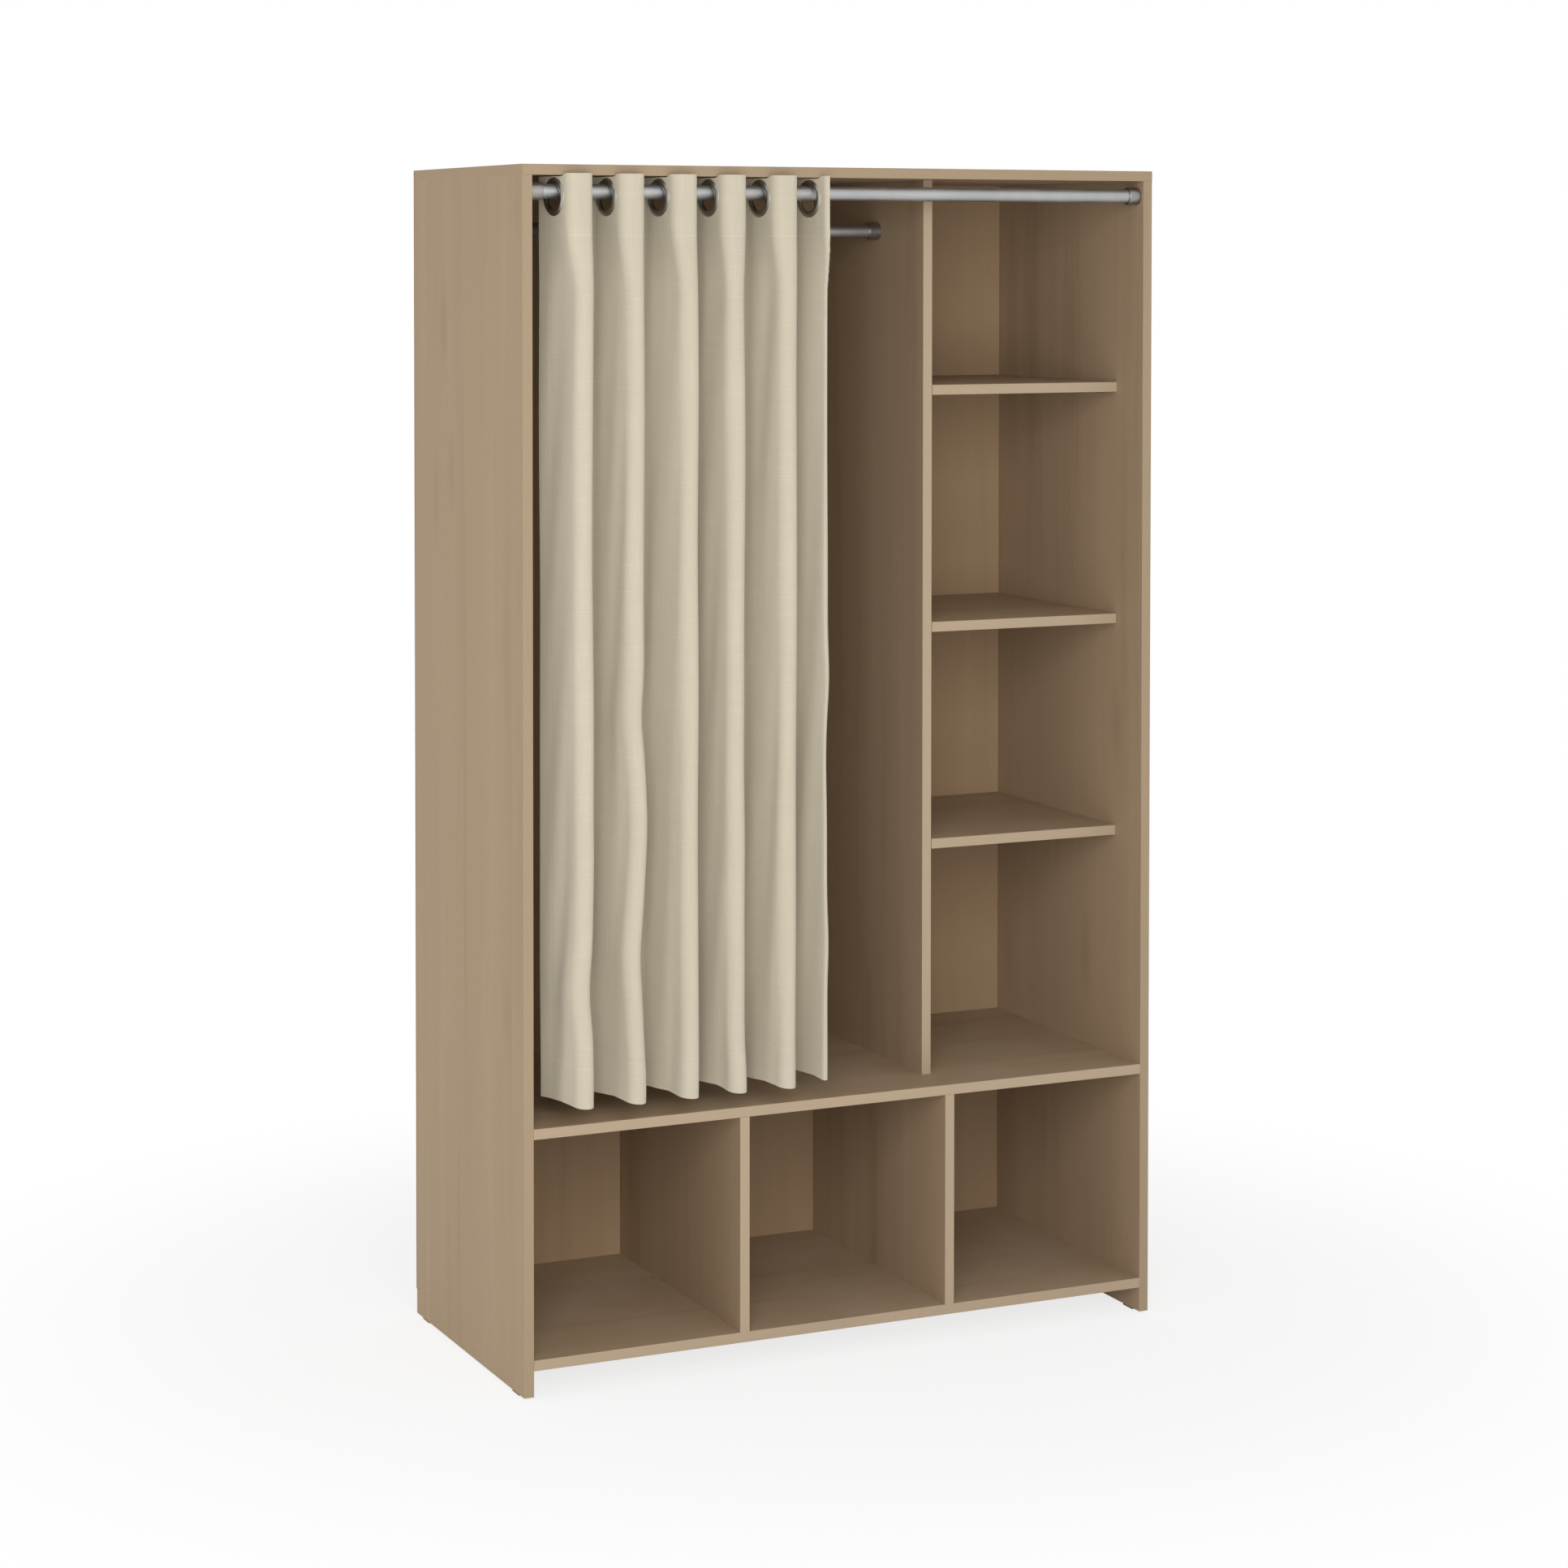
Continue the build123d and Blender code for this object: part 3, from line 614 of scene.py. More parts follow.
@dataclass(frozen=True)
class BeechFinish:
    """Bare beech with short flecks."""

    pale: Colour = srgb(222, 190, 150)
    fleck: Colour = srgb(170, 128, 88)
    roughness: float = 0.7

    def material(self) -> Material:
        """Make the beech's material.

        Returns:
            The material.
        """
        coat = Coat("beech")
        grain = coat.noise(coat.places()[0], (200.0, 900.0, 200.0), detail=3.0)
        return coat.paint({"Base Color": coat.mix(coat.spread(grain, 0.4, 0.7), self.pale, self.fleck),
                           "Roughness": self.roughness,
                           "Normal": coat.bump(grain, strength=0.4, distance=0.1 * MM)})


def put_on(node: str, material: Material) -> None:
    """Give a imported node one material.

    Args:
        node: The node's name.
        material: What it is dressed in.
    """
    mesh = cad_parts[node].data
    mesh.materials.clear()
    mesh.materials.append(material)


@dataclass
class Carcass:
    """The boards, the back and the glides."""

    outer: BoardFinish = BoardFinish()
    # The inner boards' band is a lighter copy of the outer band: painted light on the front edges of the
    # shelves and dividers.
    inner: BoardFinish = BoardFinish(band=srgb(179, 161, 140))
    back: BackFinish = BackFinish()
    glides: PlasticFinish = PlasticFinish("brown_plastic", srgb(92, 74, 58), srgb(122, 104, 88))
    sides: tuple[str, ...] = ("left_side_panel", "right_side_panel")
    dividers: tuple[str, ...] = ("tall_divider", "left_lower_divider", "right_lower_divider")
    shelves: tuple[str, ...] = ("bottom_shelf", "middle_shelf", "column_shelf_lower", "column_shelf_middle",
                                "column_shelf_upper")
    seed_step: float = 0.73

    def dress(self) -> None:
        """Dress every board, the two sheets of the back and the glides."""
        seed = 0.0
        for nodes, finish, grain in ((self.sides, self.outer, Grain.ALONG_Z),
                                     (self.dividers, self.inner, Grain.ALONG_Z),
                                     (self.shelves, self.inner, Grain.ALONG_X)):
            for node in nodes:
                seed += self.seed_step
                finish.dress(node, grain, seed)
        self.outer.dress("top_panel", Grain.ALONG_X, seed + self.seed_step, ends_banded=True)
        self.back.dress("back_panel_left", seed)
        self.back.dress("back_panel_right", seed)
        put_on("floor_glides", self.glides.material())


@dataclass
class Metalwork:
    """The rod, the rail, their sockets and the fixings."""

    tube: MetalFinish = MetalFinish("satin_tube", srgb(172, 173, 173), srgb(182, 183, 183), 0.5, 1400.0)
    socket: MetalFinish = MetalFinish("satin_nickel", srgb(150, 148, 146), srgb(164, 162, 160), 0.38)
    zinc: MetalFinish = MetalFinish("zinc_plate", srgb(176, 178, 182), srgb(158, 160, 166), 0.42, 300.0)
    steel: MetalFinish = MetalFinish("bright_steel", srgb(188, 188, 186), srgb(168, 166, 160), 0.3, 500.0)
    beech: BeechFinish = BeechFinish()

    def dress(self) -> None:
        """Dress each fitting, and the dowels."""
        chosen = ((self.tube, ("curtain_rod", "hanging_rail")),
                  (self.socket, ("curtain_rod_socket_left", "curtain_rod_socket_right",
                                 "hanging_rail_socket_left", "hanging_rail_socket_right")),
                  (self.zinc, ("cam_locks", "wall_bracket_left", "wall_bracket_right")),
                  (self.steel, ("shelf_pins", "cam_bolts", "confirmat_screws", "socket_screws",
                                "wall_bracket_screws", "back_panel_nails")),
                  (self.beech, ("wooden_dowels",)))
        for finish, nodes in chosen:
            material = finish.material()
            for node in nodes:
                put_on(node, material)
                LOG.info("%s: %s", node, material.name)


@dataclass
class Eyelets:
    """The rings, each a front and a rear half snapped together through the cloth."""

    bore: float = 19.5 * MM
    rim: float = 28.9 * MM
    seat: float = 0.75 * MM
    dome: float = 3.0 * MM
    lip: float = 0.55 * MM
    barrel: float = 1.0 * MM
    barrel_root: float = 0.4 * MM
    rear_play: float = 0.25 * MM
    rear_end: float = 0.1 * MM
    crest_share: float = 0.42
    throat_share: float = 0.9
    throat_fall: float = 0.62
    dome_steps: int = 9
    throat_steps: int = 8
    steps: int = 96
    crease: float = math.radians(40)
    finish: MetalFinish = MetalFinish("dark_nickel", srgb(162, 160, 152), srgb(176, 174, 166), 0.34, 2400.0,
                                      0.01 * MM)

    def half_profile(self, side: int) -> list[tuple[float, float]]:
        """Give one half's closed outline as radius and height along the axis.

        Args:
            side: 1 for the front half and -1 for the rear half.

        Returns:
            The outline's points in order: rim, dome, throat and barrel.
        """
        top, lip_top = self.seat + self.dome, self.seat + self.lip
        inner = self.bore if side > 0 else self.bore + self.rear_play
        crest = inner + self.crest_share * (self.rim - inner)
        throat = self.throat_share * (crest - inner)
        shoulder = self.rim - self.lip
        points = [(self.rim, self.seat), (self.rim, self.seat + 0.5 * self.lip),
                  (self.rim - 0.4 * self.lip, lip_top)]
        for share in (step / self.dome_steps for step in range(1, self.dome_steps)):
            points.append((shoulder - share * (shoulder - crest),
                           lip_top + (top - lip_top) * math.sin(share * math.pi / 2)))
        for share in (step / self.throat_steps for step in range(self.throat_steps + 1)):
            angle = share * math.pi / 2
            points.append((crest - throat * math.sin(angle) - (crest - inner - throat) * share,
                           top - (top - self.seat) * self.throat_fall * (1 - math.cos(angle))))
        end = -0.6 * self.seat if side > 0 else self.rear_end
        outside = inner + self.barrel
        return points + [(inner, end), (outside, end), (outside, 0.8 * self.seat),
                         (outside + self.barrel_root, self.seat)]

    def build(self, name: str, centre: Vector, axis: Vector, material: Material) -> Object:
        """Turn both halves about the ring's axis.

        Args:
            name: The piece's name.
            centre: The ring's centre, in the middle of the cloth.
            axis: The direction square to the cloth.
            material: The ring's metal.

        Returns:
            The ring.
        """
        turn = axis.to_track_quat("Z", "Y").to_matrix()
        verts: list[Vector] = []
        faces: list[tuple[int, ...]] = []
        for side in (1, -1):
            outline = self.half_profile(side)
            start, count = len(verts), len(outline)
            for step in range(self.steps):
                angle = FULL_TURN * step / self.steps
                cos, sin = math.cos(angle), math.sin(angle)
                verts += [centre + turn @ Vector((radius * cos, radius * sin, side * height))
                          for radius, height in outline]
                here, there = start + step * count, start + (step + 1) % self.steps * count
                for k in range(count):
                    after = (k + 1) % count
                    quad = (here + k, there + k, there + after, here + after)
                    faces.append(quad if side > 0 else (quad[0], quad[3], quad[2], quad[1]))
        mesh = bpy.data.meshes.new(name)
        mesh.from_pydata(verts, [], faces)
        mesh.validate()
        mesh.shade_smooth()
        mesh.materials.append(material)
        ring = add_object(mesh)
        mesh.set_sharp_from_angle(angle=self.crease)
        return ring


@dataclass(frozen=True)
class FlankLean:
    """How one kind of flank crosses the rod: how far its ends lie from the crossing, along the rod."""

    header: float
    front: float
    back: float
    header_bend: float
    bend: float


@dataclass(frozen=True)
class Kink:
    """One place where a fold's crest has moved aside."""

    bend: int
    drop_share: float
    shift: float
    spread_share: float


FACE = FlankLean(header=8.0 * MM, front=22.0 * MM, back=10.0 * MM, header_bend=18.0 * MM, bend=20.0 * MM)
RETURN = FlankLean(header=4.0 * MM, front=5.0 * MM, back=3.0 * MM, header_bend=10.0 * MM, bend=9.0 * MM)
LAST = FlankLean(header=11.0 * MM, front=34.0 * MM, back=12.0 * MM, header_bend=18.0 * MM, bend=20.0 * MM)
KINKS = (
    Kink(1, 0.74, 2.0 * MM, 0.05), Kink(1, 0.875, -6.5 * MM, 0.04),
    Kink(3, 0.58, -5.0 * MM, 0.035), Kink(3, 0.70, 6.0 * MM, 0.06), Kink(3, 0.84, -5.0 * MM, 0.04),
    Kink(3, 0.98, 6.0 * MM, 0.06), Kink(5, 0.97, 3.0 * MM, 0.08), Kink(7, 0.72, 2.0 * MM, 0.06),
    Kink(7, 1.0, 6.0 * MM, 0.05), Kink(11, 0.55, 3.0 * MM, 0.04), Kink(11, 0.64, -1.5 * MM, 0.05),
    Kink(11, 0.845, 2.5 * MM, 0.04),
)
CREST_SHIFTS = {1: 1.0 * MM, 3: -1.0 * MM, 5: 4.5 * MM, 7: -4.0 * MM, 9: 0.0, 11: 0.0}
ARC_STEPS = 16
ARC_FIT = 0.98


def wave(turns: float) -> float:
    """Give a wave's height from -1 to 1 after some turns."""
    return math.sin(FULL_TURN * turns)


def ramp(value: Any, start: float, length: float) -> Any:
    """Give 0 up to a start, 1 from a length after it, and the share between."""
    return np.clip((value - start) / length, 0, 1)


def run_along(line: Array) -> Array:
    """Give how far along a line each of its points lies."""
    return np.concatenate([[0.0], np.cumsum(np.linalg.norm(np.diff(line, axis=0), axis=1))])


def rounded(corners: list[Array], bends: list[float], count: int) -> Array:
    """Round a line's corners with arcs and give evenly spaced points on it.

    Args:
        corners: The line's points in plan.
        bends: The arcs' radii at the inner points.
        count: How many points to give.

    Returns:
        The points, one row each.
    """
    legs = [b - a for a, b in zip(corners, corners[1:])]
    lengths = [float(np.linalg.norm(leg)) for leg in legs]
    ways = [leg / length for leg, length in zip(legs, lengths)]
    turns = [math.acos(float(np.clip(a @ b, -1, 1))) for a, b in zip(ways, ways[1:])]
    tangents = [bend * math.tan(turn / 2) for bend, turn in zip(bends, turns)]
    needs = [a + b for a, b in zip([0.0, *tangents], [*tangents, 0.0])]
    fit = min(1.0, *(ARC_FIT * length / max(need, TINY) for length, need in zip(lengths, needs)))
    dense = [corners[0]]
    for corner, into, out, turn, tangent in zip(corners[1:], ways, ways[1:], turns, tangents):
        handed = 1.0 if into[0] * out[1] - into[1] * out[0] > 0 else -1.0
        begin = corner - into * tangent * fit
        arm = np.array([into[1], -into[0]]) * handed * tangent * fit / math.tan(turn / 2)
        square = np.array([-arm[1], arm[0]])
        angles = handed * turn * np.linspace(0, 1, ARC_STEPS + 1)
        dense.extend(begin - arm + np.outer(np.cos(angles), arm) + np.outer(np.sin(angles), square))
    line = np.array([*dense, corners[-1]])
    run = run_along(line)
    wanted = np.linspace(0, run[-1], count)
    return np.stack([np.interp(wanted, run, line[:, part]) for part in (0, 1)], axis=1)


def cloth_normals(points: Array) -> Array:
    """Give a surface's unit normals, towards the cloth's front, by row and column."""
    normal = np.cross(np.gradient(points, axis=1), -np.gradient(points, axis=0))
    return normal / np.linalg.norm(normal, axis=2, keepdims=True)


@dataclass
class Unevenness:
    """How the hanging cloth strays from plain folds. Pairs hold a least value and what chance adds."""

    bends: int
    seed: int = 7
    drift: float = 0.7 * MM
    drift_turns: tuple[float, float] = (1.1, 0.3)
    quiver: float = 0.5 * MM
    quiver_turns: float = 2.3
    header_share: float = 0.4
    flattening: tuple[float, float] = (1.4 * MM, 1.2 * MM)
    flattening_turns: float = 0.9
    ripple_count: int = 9
    ripple_width: tuple[float, float] = (34 * MM, 60 * MM)
    ripple_height: tuple[float, float] = (260 * MM, 620 * MM)
    ripple_depth: tuple[float, float] = (0.15 * MM, 0.25 * MM)
    ripple_phase: float = 40.0
    hem_waves: tuple[Place, ...] = ((1.3 * MM, 57 * MM, 0.0), (0.8 * MM, 23 * MM, 1.3))

    def __post_init__(self) -> None:
        """Draw each bend's own wander and the ripples."""
        rng = np.random.default_rng(self.seed)
        self.wander = rng.uniform(-1, 1, (self.bends, 6))
        self.ripples = rng.uniform(0, 1, (self.ripple_count, 4))

    def sideways(self, bend: int, free: float, drop: float) -> float:
        """Give how far one bend has wandered to the right.

        Args:
            bend: The bend's number, from the left edge.
            free: How free the cloth is, from 0 to 1.
            drop: How far down it is, from 0 to 1.

        Returns:
            The shift along the rod.
        """
        own, (turns, more) = self.wander[bend], self.drift_turns
        aside = own[0] * self.drift * wave(drop * (turns + more * own[1]) + own[2])
        aside += own[3] * self.quiver * wave(drop * self.quiver_turns + own[4])
        for kink in KINKS:
            if kink.bend == bend:
                aside += kink.shift * math.exp(-((drop - kink.drop_share) / kink.spread_share) ** 2)
        held = self.header_share + (1 - self.header_share) * free
        return free * aside + held * CREST_SHIFTS.get(bend, 0.0)

    def flattened(self, bend: int, drop: float) -> float:
        """Give how much nearer to the rod one bend lies, where the cloth is free."""
        own, (least, more) = self.wander[bend], self.flattening
        return least + more * own[5] * wave(drop * self.flattening_turns + own[1])

    def rippled(self, flat: Array, down: Array) -> Array:
        """Give how far the fine ripples stand out.

        Args:
            flat: Each column's place on the flat cloth.
            down: Each row's distance below the top.

        Returns:
            The heights by row and column.
        """
        height = np.zeros((len(down), len(flat)))
        for wide, tall, phase, strength in self.ripples:
            across = FULL_TURN / (self.ripple_width[0] + self.ripple_width[1] * wide)
            along = FULL_TURN / (self.ripple_height[0] + self.ripple_height[1] * tall)
            depth = self.ripple_depth[0] + self.ripple_depth[1] * strength
            height += depth * np.sin(across * flat + along * down[:, None] + self.ripple_phase * phase)
        return height

    def hem_height(self, flat: Array) -> Array:
        """Give how far the hem rises at each column of the flat cloth."""
        return sum(height * np.sin(flat / length + phase) for height, length, phase in self.hem_waves)


@dataclass
class Cloth:
    """The whole cloth, before it is cut into strips: its middle surface by row and column."""

    points: Array
    half: Array
    flat: Array
    heights: Array
    cuts: list[int]
    centres: dict[int, Vector]

    def __post_init__(self) -> None:
        """Work out the normals."""
        self.normals = cloth_normals(self.points)


class StripMesh:
    """One strip of the cloth as a thin mesh, face by face."""

    def __init__(self, cloth: Cloth, first: int, last: int) -> None:
        """Take a strip's part of the cloth.

        Args:
            cloth: The whole cloth.
            first: The strip's first column.
            last: Its last column.
        """
        part = slice(first, last + 1)
        self.grid, self.normals = cloth.points[:, part].copy(), cloth.normals[:, part]
        self.offset = self.normals * cloth.half[:, part, None]
        self.flat, self.heights = cloth.flat[part], cloth.heights
        self.centres = [np.array(cloth.centres[k]) for k in (first, last) if k in cloth.centres]
        self.numbers: dict[Corner, int] = {}
        self.faces: list[list[int]] = []
        self.corner_normals: list[Vector] = []
        self.maps: list[tuple[float, float]] = []

    def open_holes(self, radius: float, margin: float) -> Array:
        """Push the points out of each eyelet's hole.

        Args:
            radius: The hole's radius.
            margin: How far inside it the middle of a kept face may lie.

        Returns:
            Which faces are kept, by row and column.
        """
        gap = np.full(self.grid.shape[:2], np.inf)
        for centre in self.centres:
            away = self.grid - centre
            distance = np.linalg.norm(away, axis=2)
            gap = np.minimum(gap, distance)
            inside = (distance < radius) & (distance > TINY)
            self.grid[inside] = centre + away[inside] / distance[inside][:, None] * radius
        return (gap[:-1, :-1] + gap[1:, :-1] + gap[:-1, 1:] + gap[1:, 1:]) / 4 > radius - margin

    def face(self, corners: list[Corner], normals: list[Array]) -> None:
        """Add one face. Its vertices get their numbers when they are first used.

        Args:
            corners: Each corner's row, column and side, 1 in front and -1 behind.
            normals: The normal at each corner.
        """
        self.faces.append([self.numbers.setdefault(corner, len(self.numbers)) for corner in corners])
        self.corner_normals.extend(Vector(normal) for normal in normals)
        self.maps.extend((self.flat[column], self.heights[row]) for row, column, _ in corners)

    def cover(self, kept: Array) -> None:
        """Lay the front and back faces, and close the open edges between them.

        Args:
            kept: Which faces are kept, by row and column.
        """
        shown = np.pad(kept, 1)
        for row, column in zip(*np.nonzero(kept)):
            quad = [(row, column), (row + 1, column), (row + 1, column + 1), (row, column + 1)]
            self.face([(*at, 1) for at in quad], [self.normals[at] for at in quad])
            self.face([(*at, -1) for at in reversed(quad)], [-self.normals[at] for at in reversed(quad)])
            beside = ((row, column - 1), (row + 1, column), (row, column + 1), (row - 1, column))
            for k, (beside_row, beside_column) in enumerate(beside):
                if not shown[beside_row + 1, beside_column + 1]:
                    a, b = quad[k], quad[(k + 1) % 4]
                    out = np.cross(self.grid[b] - self.grid[a], self.normals[a])
                    out = out / max(float(np.linalg.norm(out)), TINY)
                    self.face([(*b, 1), (*a, 1), (*a, -1), (*b, -1)], [out] * 4)

    def finish(self, name: str, material: Material) -> Object:
        """Make the strip's object.

        Args:
            name: The piece's name.
            material: The cloth's material.

        Returns:
            The strip.
        """
        verts = [self.grid[row, column] + side * self.offset[row, column]
                 for row, column, side in self.numbers]
        mesh = bpy.data.meshes.new(name)
        mesh.from_pydata(verts, [], self.faces)
        mesh.shade_smooth()
        layer = mesh.uv_layers.new(name="flat_cloth")
        layer.data.foreach_set("uv", np.array(self.maps, dtype=np.float32).ravel())
        mesh.normals_split_custom_set(self.corner_normals)
        mesh.materials.append(material)
        return add_object(mesh)


@dataclass
class Curtain:
    """One cloth gathered on the rod, made in strips that meet at the eyelets."""

    count: int = 11
    pitch: float = 42.1 * MM
    first_inset: float = 58.6 * MM
    reach: float = 45.0 * MM
    ring_level: float = 1801.8 * MM
    header_top: float = 1832.3 * MM
    header_rise: float = 4.2 * MM
    rise_start: float = 22.5 * MM
    rise_run: float = 8.0 * MM
    stiff_length: float = 34.0 * MM
    fine_rows_length: float = 36.0 * MM
    easing_length: float = 120.0 * MM
    hem: float = 432.0 * MM
    hem_reach: float = 16.0 * MM
    hem_lift: float = 8.5 * MM
    hem_slant: float = 8.0 * MM
    hem_share: float = 0.2
    first_margin: float = 42.0 * MM
    first_upright: float = 0.25
    last_margin: float = 40.0 * MM
    last_draw: float = 18.0 * MM
    last_length: float = 46.0 * MM
    edge_curl: float = 6.0 * MM
    edge_fall: float = 0.2
    edge_round: float = 0.9
    turned_least: float = 0.5 * MM
    turned_way: tuple[float, float] = (-0.35, 0.94)
    turned_round: float = 0.25
    cloth: float = 1.1 * MM
    turned_in: float = 0.25 * MM
    header_depth: float = 88.0 * MM
    hem_depth: float = 62.0 * MM
    side_hem: float = 24.0 * MM
    hole: float = 23.5 * MM
    hole_margin: float = 1.5 * MM
    rigid_part: float = 9.0 * MM
    columns: int = 30
    header_rows: int = 18
    body_rows: int = 124
    cloth_finish: ClothFinish = ClothFinish()
    eyelets: Eyelets = field(default_factory=Eyelets)

    def __post_init__(self) -> None:
        """Work out the places along the rod and the rows."""
        rod_low, rod_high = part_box("curtain_rod")
        side_low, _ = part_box("left_side_panel")
        self.rod_y = (rod_low.y + rod_high.y) / 2
        self.places = [side_low.x + self.first_inset + k * self.pitch for k in range(self.count)]
        header_end = self.ring_level - self.fine_rows_length
        upper = np.linspace(self.header_top, header_end, self.header_rows, endpoint=False)
        self.levels = np.concatenate([upper, np.linspace(header_end, self.hem, self.body_rows)])
        self.height = self.header_top - self.hem
        self.uneven = Unevenness(self.count + 1)

    def kind(self, index: int) -> FlankLean:
        """Give the kind of a flank, by its eyelet's number from 0."""
        return LAST if index == self.count - 1 else RETURN if index % 2 else FACE

    def slack(self, level: float) -> float:
        """Give how free the folds are at a level: 0 at the rings, 1 well below them."""
        share = float(ramp(self.ring_level - level, self.stiff_length, self.easing_length))
        return share * share * (3 - 2 * share)

    def drop(self, level: float) -> float:
        """Give how far down the cloth a level lies, from 0 to 1."""
        return (self.header_top - level) / self.height

    def bend_reach(self, bend: int, level: float) -> float:
        """Give how far one bend reaches from the rod in plan, by its number and the row's level."""
        depth = self.reach - self.slack(level) * self.uneven.flattened(bend, self.drop(level))
        return depth if bend % 2 else depth + self.hem_reach * self.drop(level) ** 2

    def flank(self, index: int, level: float) -> tuple[Array, Array, Array]:
        """Give a flank's back end, its crossing of the rod and its front end in plan.

        Args:
            index: The eyelet's number from 0.
            level: The height of the row.

        Returns:
            Three points.
        """
        free, drop, kind, place = self.slack(level), self.drop(level), self.kind(index), self.places[index]
        crest, valley = (index, index + 1) if index % 2 else (index + 1, index)
        front_lean = kind.header + (kind.front - kind.header) * free
        back_lean = kind.header + (kind.back - kind.header) * free
        front_reach, back_reach = self.bend_reach(crest, level), self.bend_reach(valley, level)
        if kind is FACE:
            front_reach -= self.hem_slant * free * drop ** 2
        if index == 0:
            back_lean, back_reach = back_lean * (1 - self.first_upright * free), self.first_margin
        if kind is LAST:
            front_reach = self.last_margin - self.last_draw * free
            front_lean *= front_reach / self.reach
        front_x = place + front_lean + self.uneven.sideways(crest, free, drop)
        back_x = place - back_lean + self.uneven.sideways(valley, free, drop)
        front = np.array([front_x, self.rod_y - front_reach])
        back = np.array([back_x, self.rod_y + back_reach])
        return back, back + (front - back) * back_reach / (back_reach + front_reach), front

    def row_corners(self, interval: int, level: float) -> tuple[list[Array], list[float]]:
        """Give the corner points of one strip at a level, between two rod crossings.

        Args:
            interval: The strip's number, from 0 at the left edge.
            level: The height of the row.

        Returns:
            Points in plan from left to right, and the bend at each inner one.
        """
        if interval == 0:
            return list(self.flank(0, level)[:2]), []
        before = self.flank(interval - 1, level)
        if interval == self.count:
            edge = before[2] + np.array([1.0, -self.edge_fall]) * self.edge_curl
            used = np.linalg.norm(before[2] - before[1]) + np.linalg.norm(edge - before[2])
            spare = max(self.turned_least, self.last_length - used)
            turned = edge + np.array(self.turned_way) * spare
            return [before[1], before[2], edge, turned], [self.edge_round * self.edge_curl,
                                                          self.turned_round * spare]
        after, free, end = self.flank(interval, level), self.slack(level), 2 if interval % 2 else 0
        kinds = self.kind(interval - 1), self.kind(interval)
        bends = [kind.header_bend + (kind.bend - kind.header_bend) * free for kind in kinds]
        return [before[1], before[end], after[end], after[1]], bends

    def spread_out(self) -> Cloth:
        """Make the whole cloth.

        Returns:
            The cloth, before it is cut into strips.
        """
        counts = [self.columns // 2 + 1, *[self.columns] * (self.count - 1), self.columns // 2 + 1]
        cuts = [0, *accumulate(count - 1 for count in counts)]
        rows = []
        for level in self.levels:
            strips = [rounded(*self.row_corners(k, level), count) for k, count in enumerate(counts)]
            rows.append(np.concatenate([strips[0], *(points[1:] for points in strips[1:])]))
        plan = np.array(rows)
        flat = run_along(plan[0])
        up = np.broadcast_to(self.levels[:, None, None], (*plan.shape[:2], 1))
        points = self.settled(np.concatenate([plan, up], axis=2), flat)
        centres = self.hole_centres(points, cuts)
        return Cloth(points, self.half_thickness(flat), flat, self.levels - self.hem, cuts, centres)

    def settled(self, points: Array, flat: Array) -> Array:
        """Ripple the cloth below the rings, let its hem hang unevenly and lift the header's front.

        Args:
            points: The smooth surface.
            flat: Each column's place on the flat cloth.

        Returns:
            The surface as it hangs.
        """
        free = np.array([self.slack(level) for level in self.levels])[:, None]
        down = self.header_top - self.levels
        moved = points + cloth_normals(points) * (self.uneven.rippled(flat, down) * free)[:, :, None]
        _, y, z = np.moveaxis(points, 2, 0)
        low = ramp(down[:, None], (1 - self.hem_share) * self.height, self.hem_share * self.height)
        behind = ramp(y, self.rod_y - self.reach, self.reach)
        before_board = ramp(self.rod_y - y, self.rise_start, self.rise_run)
        near_top = ramp(z, self.ring_level, self.header_top - self.ring_level)
        moved[:, :, 2] += low * (self.uneven.hem_height(flat) + self.hem_lift * behind)
        moved[:, :, 2] += self.header_rise * before_board * near_top
        return moved

    def half_thickness(self, flat: Array) -> Array:
        """Give half the cloth's thickness at each point: more where it is folded over and sewn.

        Args:
            flat: Each column's place on the flat cloth.

        Returns:
            Half thicknesses by row and column.
        """
        in_hem = self.levels - self.hem < self.hem_depth
        in_header = self.header_top - self.levels < self.header_depth
        in_side = np.minimum(flat, flat[-1] - flat) < self.side_hem
        return self.cloth / 2 + self.turned_in * ((in_hem | in_header)[:, None] | in_side)

    def hole_centres(self, points: Array, cuts: list[int]) -> dict[int, Vector]:
        """Give each eyelet's centre, by the column that crosses it.

        Args:
            points: The surface's points.
            cuts: The columns where the strips meet.

        Returns:
            The centres by column.
        """
        found = {}
        for column in cuts[1:-1]:
            x, y, z = points[:, column].T
            at_level = [float(np.interp(-self.ring_level, -z, part)) for part in (x, y)]
            found[column] = Vector((*at_level, self.ring_level))
        return found

    def build(self) -> None:
        """Make the strips and the rings, and tie the rings and the two end strips to the folds that slide.
        """
        cloth = self.spread_out()
        flat, cuts, height = cloth.flat, cloth.cuts, self.height
        cotton = self.cloth_finish.material(float(flat[-1]), height - self.header_depth, self.hem_depth,
                                            self.side_hem)
        rings = self.hang_rings(cloth)
        for interval in range(self.count + 1):
            strip = StripMesh(cloth, cuts[interval], cuts[interval + 1])
            strip.cover(strip.open_holes(self.hole, self.hole_margin))
            piece = strip.finish(f"curtain_strip_{interval:02d}", cotton)
            bodies = [f"fold_{k:02d}" for k in (interval, interval + 1) if 1 <= k <= self.count]
            if len(bodies) == 2:
                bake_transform(piece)
            else:
                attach(piece, bodies[0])
            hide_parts(*[body.replace("fold", "curtain_fold") for body in bodies])
        LOG.info("whole curtain: %.0f by %.0f mm flat", flat[-1] / MM, height / MM)

